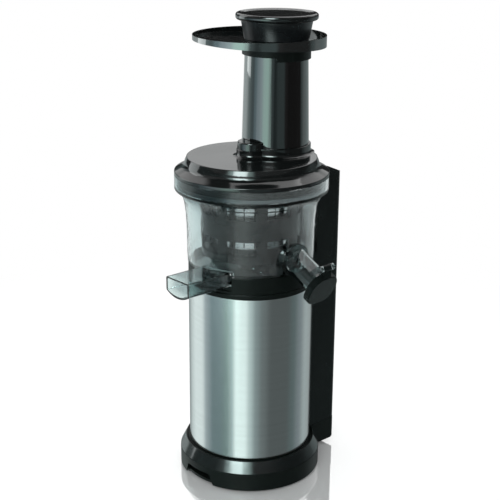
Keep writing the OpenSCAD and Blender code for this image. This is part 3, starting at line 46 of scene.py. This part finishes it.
# The camera was fitted to the photograph. Its azimuth is in degrees round the object, from the front towards
# the chute; pitch and roll are in radians, its place in metres and its lens in millimetres.
CAMERA_AZIMUTH = 47.5
CAMERA_PITCH = 0.316
CAMERA_ROLL = 0.008
CAMERA_PLACE = (0.7429, -0.6808, 0.5432)
CAMERA_LENS = 82.94
CAMERA_SHIFT = -0.0022
SENSOR_WIDTH = 36


def make_camera():
    cam_data = bpy.data.cameras.new("camera")
    cam = bpy.data.objects.new("camera", cam_data)
    bpy.context.scene.collection.objects.link(cam)
    cam.location = CAMERA_PLACE
    azimuth = math.radians(CAMERA_AZIMUTH)
    level = math.cos(CAMERA_PITCH)
    forward = Vector((-math.sin(azimuth) * level, math.cos(azimuth) * level, -math.sin(CAMERA_PITCH)))
    right = Vector((math.cos(azimuth), math.sin(azimuth), 0.0))
    up = right.cross(forward)
    turned_right = right * math.cos(CAMERA_ROLL) + up * math.sin(CAMERA_ROLL)
    turned_up = up * math.cos(CAMERA_ROLL) - right * math.sin(CAMERA_ROLL)
    cam.rotation_mode = "QUATERNION"
    cam.rotation_quaternion = Matrix((turned_right, turned_up, -forward)).transposed().to_quaternion()
    cam_data.sensor_width = SENSOR_WIDTH
    cam_data.lens = CAMERA_LENS
    cam_data.shift_x = CAMERA_SHIFT
    cam_data.clip_start = 0.05
    cam_data.clip_end = 20
    bpy.context.scene.camera = cam


# ---------------------------------------------------------------- node helpers

class Nodes:
    """Short calls for building a node tree."""

    def __init__(self, tree):
        self.tree = tree
        tree.nodes.clear()

    def add(self, kind):
        return self.tree.nodes.new(kind)

    def link(self, a, b):
        self.tree.links.new(a, b)

    def math(self, operation, a, b):
        n = self.add("ShaderNodeMath")
        n.operation = operation
        for socket, value in zip(n.inputs, (a, b)):
            if isinstance(value, (int, float)):
                socket.default_value = value
            else:
                self.link(value, socket)
        return n.outputs[0]

    def ramp(self, factor, stops, interpolation="EASE"):
        """A colour ramp; each stop is a place from 0 to 1 and a grey or a colour."""
        n = self.add("ShaderNodeValToRGB")
        n.color_ramp.interpolation = interpolation
        elements = n.color_ramp.elements
        while len(elements) > 1:
            elements.remove(elements[-1])
        for i, (position, colour) in enumerate(stops):
            if isinstance(colour, (int, float)):
                colour = (colour, colour, colour)
            stop = elements[0] if i == 0 else elements.new(position)
            stop.position = position
            stop.color = (*colour, 1)
        self.link(factor, n.inputs[0])
        return n.outputs[0]

    def noise(self, vector, scale, detail=3.0, rough=0.55):
        n = self.add("ShaderNodeTexNoise")
        n.inputs["Scale"].default_value = scale
        n.inputs["Detail"].default_value = detail
        n.inputs["Roughness"].default_value = rough
        self.link(vector, n.inputs["Vector"])
        return n.outputs[0]

    def spread(self, value, start, end, low=0.0, high=1.0, interpolation="LINEAR"):
        """Maps start to end onto low to high."""
        n = self.add("ShaderNodeMapRange")
        n.interpolation_type = interpolation
        n.inputs["From Min"].default_value = start
        n.inputs["From Max"].default_value = end
        n.inputs["To Min"].default_value = low
        n.inputs["To Max"].default_value = high
        self.link(value, n.inputs["Value"])
        return n.outputs[0]

    def roughness(self, noise, low, high):
        """A roughness from low to high over the middle of a noise, where most of its values lie."""
        return self.spread(noise, 0.3, 0.7, low, high)

    def bump(self, height, strength, distance):
        n = self.add("ShaderNodeBump")
        n.inputs["Strength"].default_value = strength
        n.inputs["Distance"].default_value = distance
        self.link(height, n.inputs["Height"])
        return n.outputs[0]

    def split(self, vector):
        n = self.add("ShaderNodeSeparateXYZ")
        self.link(vector, n.inputs[0])
        return n.outputs

    def here(self):
        return self.add("ShaderNodeTexCoord").outputs["Object"]

    def mix_colour(self, share, first, second, blend="MIX"):
        n = self.add("ShaderNodeMix")
        n.data_type = "RGBA"
        n.blend_type = blend
        if isinstance(share, (int, float)):
            n.inputs[0].default_value = share
        else:
            self.link(share, n.inputs[0])
        self.link(first, n.inputs[6])
        self.link(second, n.inputs[7])
        return n.outputs[2]

    def mix_shader(self, share, first, second):
        n = self.add("ShaderNodeMixShader")
        if isinstance(share, (int, float)):
            n.inputs[0].default_value = share
        else:
            self.link(share, n.inputs[0])
        self.link(first, n.inputs[1])
        self.link(second, n.inputs[2])
        return n.outputs[0]

    def background(self, colour, strength=1.0):
        n = self.add("ShaderNodeBackground")
        n.inputs["Color"].default_value = (*colour, 1)
        n.inputs["Strength"].default_value = strength
        return n.outputs[0]


# ---------------------------------------------------------------- materials

def new_material(name):
    """A material with a principled shader: its nodes, and the shader."""
    m = bpy.data.materials.new(name)
    m.use_nodes = True
    t = Nodes(m.node_tree)
    shader = t.add("ShaderNodeBsdfPrincipled")
    t.link(shader.outputs[0], t.add("ShaderNodeOutputMaterial").inputs[0])
    return m, t, shader


def plastic(name, colour, rough, grain, bump, ior=1.5, variation=0.12, sheen=0.0, metallic=0.0):
    """A moulded plastic, rubber or cast metal: colour mottling, uneven gloss and a fine grain."""
    m, t, shader = new_material(name)
    where = t.here()
    soft = t.noise(where, 38.0, 2.0)
    fine = t.noise(where, grain, 2.0)
    dark = tuple(c * (1 - variation) for c in colour)
    light = tuple(c * (1 + variation) for c in colour)
    t.link(t.ramp(soft, [(0.25, dark), (0.75, light)], "LINEAR"), shader.inputs["Base Color"])
    t.link(t.roughness(soft, *rough), shader.inputs["Roughness"])
    t.link(t.bump(fine, bump, 0.0002), shader.inputs["Normal"])
    shader.inputs["IOR"].default_value = ior
    shader.inputs["Sheen Weight"].default_value = sheen
    shader.inputs["Metallic"].default_value = metallic
    return m


def brushed_steel(name, colour, rough=(0.15, 0.19), anisotropy=0.6):
    """Sheet steel brushed round the axis: fine rings in gloss, height and tone."""
    lines_per_metre = 2600.0
    m, t, shader = new_material(name)
    x, y, z = t.split(t.here())
    lines = t.add("ShaderNodeCombineXYZ")
    t.link(t.math("MULTIPLY", t.math("ARCTAN2", y, x), 1.6), lines.inputs["X"])
    t.link(t.math("MULTIPLY", z, lines_per_metre), lines.inputs["Y"])
    fine = t.noise(lines.outputs[0], 1.0, 3.0, 0.6)
    tone = t.noise(lines.outputs[0], 0.12, 2.0, 0.5)
    dark = tuple(c * 0.94 for c in colour)
    t.link(t.ramp(tone, [(0.2, dark), (0.8, colour)], "LINEAR"), shader.inputs["Base Color"])
    t.link(t.roughness(fine, *rough), shader.inputs["Roughness"])
    t.link(t.bump(fine, 0.006, 0.0001), shader.inputs["Normal"])
    tangent = t.add("ShaderNodeTangent")
    tangent.direction_type = "RADIAL"
    tangent.axis = "Z"
    t.link(tangent.outputs[0], shader.inputs["Tangent"])
    shader.inputs["Anisotropic"].default_value = anisotropy
    shader.inputs["Anisotropic Rotation"].default_value = 0.25
    shader.inputs["Metallic"].default_value = 1.0
    return m


# The bowl's spout runs along Y: its mouth and its root in metres, and the painted shade from the one to the
# other, which stands in for the dark parts seen through the spout
SPOUT_MOUTH = -0.1
SPOUT_ROOT = -0.05
SPOUT_PAINTED_SHADE = [(0.0, (1, 1, 1)), (0.08, (0.9, 0.98, 0.96)), (0.3, (0.5, 0.58, 0.58)),
               (0.7, (0.28, 0.34, 0.35)), (0.86, (0.9, 0.95, 0.95)), (1.0, (1, 1, 1))]


def clear_plastic(name, tint, coat=0.0, painted_spout_shade=False):
    """Clear or smoke-tinted moulding with faint flow lines; a spout gets painted shade, darker from its mouth
    towards its root.
    """
    m, t, shader = new_material(name)
    where = t.here()
    soft = t.noise(where, 26.0, 1.0)
    fine = t.noise(where, 120.0, 2.0)
    dark = tuple(c * 0.97 for c in tint)
    colour = t.ramp(soft, [(0.25, dark), (0.75, tint)], "LINEAR")
    if painted_spout_shade:
        # painted shade: the spout's colour is multiplied darker between mouth and root, standing in for the
        # dark parts behind it
        along = t.spread(t.split(where)[1], SPOUT_MOUTH, SPOUT_ROOT)
        colour = t.mix_colour(1.0, colour, t.ramp(along, SPOUT_PAINTED_SHADE), "MULTIPLY")
    t.link(colour, shader.inputs["Base Color"])
    t.link(t.roughness(fine, 0.03, 0.05), shader.inputs["Roughness"])
    t.link(t.bump(soft, 0.003, 0.0005), shader.inputs["Normal"])
    shader.inputs["IOR"].default_value = 1.49
    shader.inputs["Coat Weight"].default_value = coat
    shader.inputs["Coat IOR"].default_value = 1.5
    shader.inputs["Transmission Weight"].default_value = 1.0
    return m


# ---------------------------------------------------------------- pieces

WELD = 0.000004            # metres between points that are one point
SLIVER = 0.000002          # edges shorter than this are dissolved
FLAT = math.radians(0.4)   # faces that lie within this angle are merged


def slot_of(node):
    return next(s["material_slot"] for s in RECORD["subparts"] if s["node"] == node)


def body_of(node):
    """The body that a node rides on; a node that no body lists is on the root."""
    bodies = RECORD["behaviour"]["bodies"]
    return next((body for body, names in bodies.items() if node in names), "root")


def refined(node, bevel, angle, material):
    """A welded, smooth-shaded copy of a CAD node with rounded edges, which stands for the node."""
    mesh = NODES[node].data.copy()
    mesh.name = node + "_skin"
    bm = bmesh.new()
    bm.from_mesh(mesh)
    bmesh.ops.remove_doubles(bm, verts=bm.verts, dist=WELD)
    bmesh.ops.dissolve_degenerate(bm, edges=bm.edges, dist=SLIVER)
    bmesh.ops.dissolve_limit(bm, angle_limit=FLAT, verts=bm.verts, edges=bm.edges)
    for f in bm.faces:
        f.smooth = True
    limit = math.radians(angle)
    for e in bm.edges:
        e.smooth = not (e.is_boundary or (len(e.link_faces) == 2 and e.calc_face_angle(0) > limit))
    bm.to_mesh(mesh)
    bm.free()
    o = bpy.data.objects.new(node + "_skin", mesh)
    bpy.context.scene.collection.objects.link(o)
    edge = o.modifiers.new("round", "BEVEL")
    edge.width = bevel
    edge.segments = 2
    edge.limit_method = "ANGLE"
    edge.angle_limit = math.radians(angle + 4)
    edge.harden_normals = True
    edge.use_clamp_overlap = True
    # smooth shading alone would tilt the normals of the flat tops
    weight = o.modifiers.new("weight", "WEIGHTED_NORMAL")
    weight.keep_sharp = True
    mesh.materials.clear()
    mesh.materials.append(material)
    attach(o, body_of(node))
    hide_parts(node)
    return o


def second_finish(o, material, chosen):
    """Gives the faces that chosen(centre, normal) picks a second material."""
    o.data.materials.append(material)
    for f in o.data.polygons:
        if chosen(f.center, f.normal):
            f.material_index = 1


def paint(node, material):
    """Gives a CAD node that stays in view a better material."""
    o = NODES[node]
    if not o.material_slots:
        o.data.materials.append(material)
    for s in o.material_slots:
        s.link = "OBJECT"
        s.material = material


# The polished chamfer of the base: its heights in metres, and how far its faces look up
CHAMFER_HEIGHT = (0.0186, 0.0279)
CHAMFER_TILT = (0.3, 0.8)
# The tray's socket round the feed tube, in metres, and how little its walls look up or down
TUBE_AXIS = Vector((0, 0.0287))
SOCKET_RADIUS = 0.0311
UPRIGHT = 0.5


def on_chamfer(centre, normal):
    low, high = CHAMFER_HEIGHT
    least, most = CHAMFER_TILT
    return low < centre.z < high and least < normal.z < most


def on_socket(centre, normal):
    return (centre.xy - TUBE_AXIS).length < SOCKET_RADIUS and abs(normal.z) < UPRIGHT


# ---------------------------------------------------------------- lights and stage

# Softboxes and dark flags that gloss shows. Each strip lists its stops in degrees round the object, from the
# camera's side, with their grey or colour.
# Shell, base and bowl show this one:
LOW_STOPS = [
    (-180, 0.25), (-158, (0.26, 0.3, 0.3)), (-136, (0.56, 0.64, 0.63)), (-124, (0.7, 0.79, 0.78)),
    (-103, (0.7, 0.79, 0.78)), (-89, (0.28, 0.34, 0.355)), (-73, (0.13, 0.185, 0.19)),
    (-58, (0.125, 0.18, 0.185)), (-46, (0.14, 0.205, 0.195)), (-35, (0.29, 0.38, 0.38)),
    (-26, (0.82, 0.98, 0.95)), (-10, (0.82, 0.98, 0.95)), (0, (0.46, 0.57, 0.56)), (11, (0.215, 0.27, 0.27)),
    (23, (0.135, 0.16, 0.16)), (40, (0.085, 0.1, 0.1)), (72, (0.085, 0.1, 0.1)), (87, (0.1, 0.135, 0.135)),
    (104, (0.18, 0.215, 0.225)), (125, (0.33, 0.385, 0.385)), (142, (0.3, 0.34, 0.34)), (160, 0.08),
    (180, 0.25)]
# The upright walls of the tube and the tray show this one:
TUBE_STOPS = [
    (-180, 0.06), (-152, (0.12, 0.135, 0.135)), (-124, (0.22, 0.25, 0.25)), (-105, (0.13, 0.165, 0.165)),
    (-90, (0.09, 0.12, 0.125)), (-77, (0.17, 0.24, 0.26)), (-64, (0.34, 0.43, 0.46)),
    (-52, (0.44, 0.56, 0.58)), (-41, (0.56, 0.8, 0.74)), (-30, (0.56, 0.82, 0.74)), (-22, (0.42, 0.58, 0.54)),
    (-15, (0.08, 0.105, 0.105)), (-4, (0.03, 0.04, 0.04)), (9, (0.06, 0.08, 0.08)), (26, (0.06, 0.08, 0.08)),
    (34, 0.025), (45, 0.015), (90, 0.015), (102, (0.055, 0.07, 0.07)), (113, (0.09, 0.105, 0.105)),
    (135, (0.07, 0.085, 0.085)), (152, (0.06, 0.07, 0.07)), (180, 0.06)]
# Walls that lean back a little show this one:
LEVEL_STOPS = [
    (-180, 0.015), (-170, 0.02), (-160, (0.12, 0.16, 0.16)), (-140, 0.04), (-110, (0.3, 0.36, 0.36)),
    (-95, (0.1, 0.12, 0.12)), (-50, (0.4, 0.48, 0.47)), (-25, (0.9, 1.0, 1.0)), (-8, (0.4, 0.48, 0.47)),
    (10, 0.05), (90, 0.04), (120, (0.2, 0.24, 0.24)), (150, 0.04), (180, 0.02)]
# Flat tops show this one, from beyond the object:
TOP_STOPS = [
    (-180, (0.98, 1.0, 1.0)), (-162, (0.98, 1.0, 1.0)), (-140, (0.3, 0.35, 0.36)),
    (-100, (0.12, 0.15, 0.155)), (-60, (0.08, 0.1, 0.1)), (-40, (0.4, 0.5, 0.5)), (-30, 1.0), (-10, 1.0),
    (2, (0.25, 0.3, 0.3)), (20, 0.03), (95, 0.03), (140, (0.1, 0.12, 0.12)), (162, (0.98, 1.0, 1.0)),
    (180, (0.98, 1.0, 1.0))]
# Chamfers and shoulders show the key softbox:
KEY_STOPS = [
    (-180, 0.1), (-130, 0.1), (-100, 0.03), (-48, 0.02), (-36, (0.3, 0.4, 0.39)), (-27, (0.8, 1.0, 0.98)),
    (-15, (0.8, 1.0, 0.98)), (-3, (0.2, 0.27, 0.26)), (8, 0.015), (100, 0.01), (130, 0.1), (180, 0.1)]
# Dark overhead:
OVER_STOPS = [(-180, 0.03), (180, 0.03)]

# From below upwards: the stops, their strength, and the elevations in degrees over which the strip takes over
LOWEST = (LOW_STOPS, 1.25)
STRIPS = [(TUBE_STOPS, 5.0, -15.5, -13.5), (LEVEL_STOPS, 1.0, -4.0, -1.0), (TOP_STOPS, 1.05, 10.5, 12.2),
          (KEY_STOPS, 14.0, 20.0, 25.0), (OVER_STOPS, 1.0, 48.0, 56.0)]


def elevation_share(degrees):
    """The world direction's Z at an elevation."""
    return math.sin(math.radians(degrees))


def make_world():
    """A pale studio: white for the camera, the strips for gloss, a plain level for everything else."""
    world = bpy.data.worlds.new("studio")
    bpy.context.scene.world = world
    world.use_nodes = True
    t = Nodes(world.node_tree)
    x, y, height = t.split(t.add("ShaderNodeTexCoord").outputs["Generated"])
    turn = t.math("MULTIPLY", t.math("ARCTAN2", y, x), 180 / math.pi)
    wrap = t.add("ShaderNodeMath")
    wrap.operation = "WRAP"
    t.link(t.math("ADD", turn, 90.0 - CAMERA_AZIMUTH), wrap.inputs[0])
    wrap.inputs[1].default_value = 180.0
    wrap.inputs[2].default_value = -180.0
    place = t.math("ADD", t.math("DIVIDE", wrap.outputs[0], 360.0), 0.5)

    def strip(stops, strength):
        scaled = t.add("ShaderNodeVectorMath")
        scaled.operation = "SCALE"
        t.link(t.ramp(place, [(a / 360.0 + 0.5, colour) for a, colour in stops]), scaled.inputs[0])
        scaled.inputs["Scale"].default_value = strength
        return scaled.outputs[0]

    sky = strip(*LOWEST)
    for stops, strength, start, end in STRIPS:
        share = t.spread(height, elevation_share(start), elevation_share(end), interpolation="SMOOTHSTEP")
        sky = t.mix_colour(share, sky, strip(stops, strength))
    gloss = t.add("ShaderNodeBackground")
    t.link(sky, gloss.inputs["Color"])
    path = t.add("ShaderNodeLightPath").outputs
    seen = t.math("MAXIMUM", path["Is Camera Ray"], path["Is Transmission Ray"])
    plain = t.background((0.97, 1.0, 1.0), 0.78)
    world_light = t.mix_shader(path["Is Glossy Ray"], plain, gloss.outputs[0])
    world_light = t.mix_shader(seen, world_light, t.background((1, 1, 1)))
    # only the floor is a perfect mirror, and it always shows the white sweep
    world_light = t.mix_shader(path["Is Singular Ray"], world_light, t.background((1, 1, 1), 1.02))
    t.link(world_light, t.add("ShaderNodeOutputWorld").inputs[0])


def area_light(name, azimuth, elevation, distance, size, power, colour=(1, 1, 1), target=(0, 0, 0.2)):
    """A softbox, placed by its direction from the target; azimuth is in degrees from the camera's side."""
    data = bpy.data.lights.new(name, "AREA")
    data.shape = "RECTANGLE"
    data.size, data.size_y = size
    data.energy = power
    data.color = colour
    o = bpy.data.objects.new(name, data)
    bpy.context.scene.collection.objects.link(o)
    a = math.radians(azimuth + CAMERA_AZIMUTH - 90.0)
    e = math.radians(elevation)
    back = Vector((math.cos(a) * math.cos(e), math.sin(a) * math.cos(e), math.sin(e)))
    o.location = Vector(target) + back * distance
    o.rotation_mode = "QUATERNION"
    o.rotation_quaternion = back.to_track_quat("Z", "Y")


FLOOR_REACH = 6.0            # metres from the middle to an edge
SWEEP = (0.3, 0.62)          # metres from the middle over which the tabletop runs out into white


def make_floor():
    """A white glossy tabletop that keeps the object's shadow and a faint mirror image."""
    mesh = bpy.data.meshes.new("floor")
    s = FLOOR_REACH
    mesh.from_pydata([(-s, -s, 0), (s, -s, 0), (s, s, 0), (-s, s, 0)], [], [(0, 1, 2, 3)])
    o = bpy.data.objects.new("floor", mesh)
    bpy.context.scene.collection.objects.link(o)
    m = bpy.data.materials.new("floor")
    m.use_nodes = True
    t = Nodes(m.node_tree)
    matte = t.add("ShaderNodeBsdfDiffuse")
    matte.inputs["Color"].default_value = (0.9, 0.9, 0.9, 1)
    glow = t.add("ShaderNodeEmission")
    glow.inputs["Strength"].default_value = 0.16
    base = t.add("ShaderNodeAddShader")
    t.link(matte.outputs[0], base.inputs[0])
    t.link(glow.outputs[0], base.inputs[1])
    mirror = t.add("ShaderNodeBsdfGlossy")
    mirror.inputs["Roughness"].default_value = 0.0
    mirror.inputs["Color"].default_value = (1, 1, 1, 1)
    top = t.mix_shader(0.6, base.outputs[0], mirror.outputs[0])
    path = t.add("ShaderNodeLightPath").outputs
    reach = t.add("ShaderNodeVectorMath")
    reach.operation = "LENGTH"
    t.link(t.here(), reach.inputs[0])
    fade = t.spread(reach.outputs["Value"], *SWEEP, interpolation="SMOOTHSTEP")
    far = t.math("MULTIPLY", fade, path["Is Camera Ray"])
    top = t.mix_shader(far, top, t.add("ShaderNodeEmission").outputs[0])
    # gloss on the object looks through the floor at the studio's strips
    top = t.mix_shader(path["Is Glossy Ray"], top, t.add("ShaderNodeBsdfTransparent").outputs[0])
    t.link(top, t.add("ShaderNodeOutputMaterial").inputs[0])
    mesh.materials.append(m)


bpy.context.scene.view_settings.view_transform = "Standard"
make_camera()
make_world()
make_floor()
area_light("key", -20, 36, 1.6, (0.6, 0.6), 7.0, (0.94, 1.0, 1.0))
area_light("left", -115, 20, 1.5, (0.7, 1.2), 6.0, (0.95, 1.0, 1.0))
area_light("top", 150, 70, 1.5, (1.0, 1.0), 6.0)


# ---------------------------------------------------------------- the juicer

GLOSS = plastic("black_gloss", (0.005, 0.006, 0.006), (0.06, 0.1), 700, 0.012)
PIANO = plastic("polished_black", (0.004, 0.005, 0.005), (0.05, 0.09), 700, 0.01, ior=2.0)
SATIN = plastic("black_satin", (0.0045, 0.0065, 0.0058), (0.3, 0.4), 1400, 0.06, ior=1.2)
CHAMFER = plastic("chamfer_black", (0.005, 0.007, 0.007), (0.1, 0.14), 1400, 0.01, ior=1.7)
COLUMN = plastic("column_black", (0.0045, 0.006, 0.0056), (0.2, 0.28), 1200, 0.03, ior=1.3)
DARK = plastic("dark_moulding", (0.008, 0.0105, 0.011), (0.2, 0.3), 900, 0.04, ior=1.4)
HOLDER = plastic("holder_moulding", (0.005, 0.0062, 0.0068), (0.2, 0.3), 800, 0.04, ior=1.3)
CAP = plastic("cap_moulding", (0.005, 0.0072, 0.0068), (0.12, 0.18), 900, 0.02, ior=1.18)
STEM = plastic("stem_moulding", (0.008, 0.01, 0.011), (0.25, 0.34), 900, 0.05)
RUBBER = plastic("rubber", (0.012, 0.012, 0.012), (0.5, 0.65), 1600, 0.15)
SILICONE = plastic("silicone", (0.16, 0.18, 0.19), (0.3, 0.42), 900, 0.06, sheen=0.2)
NYLON = plastic("nylon", (0.68, 0.67, 0.62), (0.35, 0.5), 900, 0.05, variation=0.04)
AXLE = plastic("axle_steel", (0.14, 0.15, 0.15), (0.3, 0.4), 1400, 0.04, metallic=1.0)
CAST = plastic("cast_metal", (0.45, 0.455, 0.46), (0.38, 0.5), 500, 0.15, metallic=1.0, variation=0.06)
COPPER = plastic("winding", (0.5, 0.19, 0.08), (0.25, 0.4), 2200, 0.3, metallic=1.0, variation=0.2)
BRONZE = plastic("bronze", (0.42, 0.27, 0.12), (0.3, 0.42), 1400, 0.1, metallic=1.0)
SHEET = brushed_steel("brushed_shell", (0.72, 0.735, 0.735))
STEEL = brushed_steel("steel_parts", (0.6, 0.61, 0.62), rough=(0.22, 0.32), anisotropy=0.4)
BOWL = clear_plastic("clear_bowl", (0.78, 0.85, 0.85), painted_spout_shade=True)
CHUTE = clear_plastic("clear_chute", (0.32, 0.39, 0.39))
SMOKE = clear_plastic("smoke_tube", (0.002, 0.0025, 0.003), coat=1.0)

BY_SLOT = {"black_gloss": GLOSS, "black_satin": SATIN, "brushed_shell": SHEET, "steel_parts": STEEL,
           "cast_metal": CAST, "winding": COPPER, "bronze": BRONZE, "clear_bowl": BOWL, "smoke_tube": SMOKE,
           "silicone": SILICONE, "black_rubber": RUBBER, "nylon": NYLON, "dark_plastic": DARK}
SPECIAL = {"column_housing": COLUMN, "rear_cover": COLUMN, "pusher_cap": GLOSS, "base_housing": SATIN,
           "top_collar": SATIN, "chute_hinge_pin": AXLE, "hopper_tray": PIANO, "brush_holder": HOLDER,
           "chute_cap": CAP, "pusher_stem": STEM, "pulp_chute": CHUTE}
SECOND = {"base_housing": (CHAMFER, on_chamfer), "hopper_tray": (SATIN, on_socket)}

# The outer pieces, with the radius of their rounded edges in metres
ROUNDED = {"base_housing": 0.0005, "motor_shell": 0.0002, "top_collar": 0.0003, "column_housing": 0.0005,
           "rear_cover": 0.0005, "juicing_bowl": 0.0004, "pulp_chute": 0.0005, "chute_cap": 0.0004,
           "lid": 0.0004, "lid_collar": 0.0004, "lock_tab": 0.0006, "feed_tube": 0.0003,
           "hopper_tray": 0.0005, "pusher_stem": 0.0004, "pusher_cap": 0.0003, "brush_holder": 0.0003,
           "strainer_frame": 0.0003, "switch_frame": 0.0003, "power_rocker": 0.0003}
# Edges sharper than this many degrees stay edges
SHARP = 28.0
SHARP_ON = {"lid": 42.0, "base_housing": 20.0}

for name in NODES:
    material = SPECIAL.get(name, BY_SLOT.get(slot_of(name), DARK))
    if name not in ROUNDED:
        paint(name, material)
        continue
    piece = refined(name, ROUNDED[name], SHARP_ON.get(name, SHARP), material)
    if name in SECOND:
        second_finish(piece, *SECOND[name])
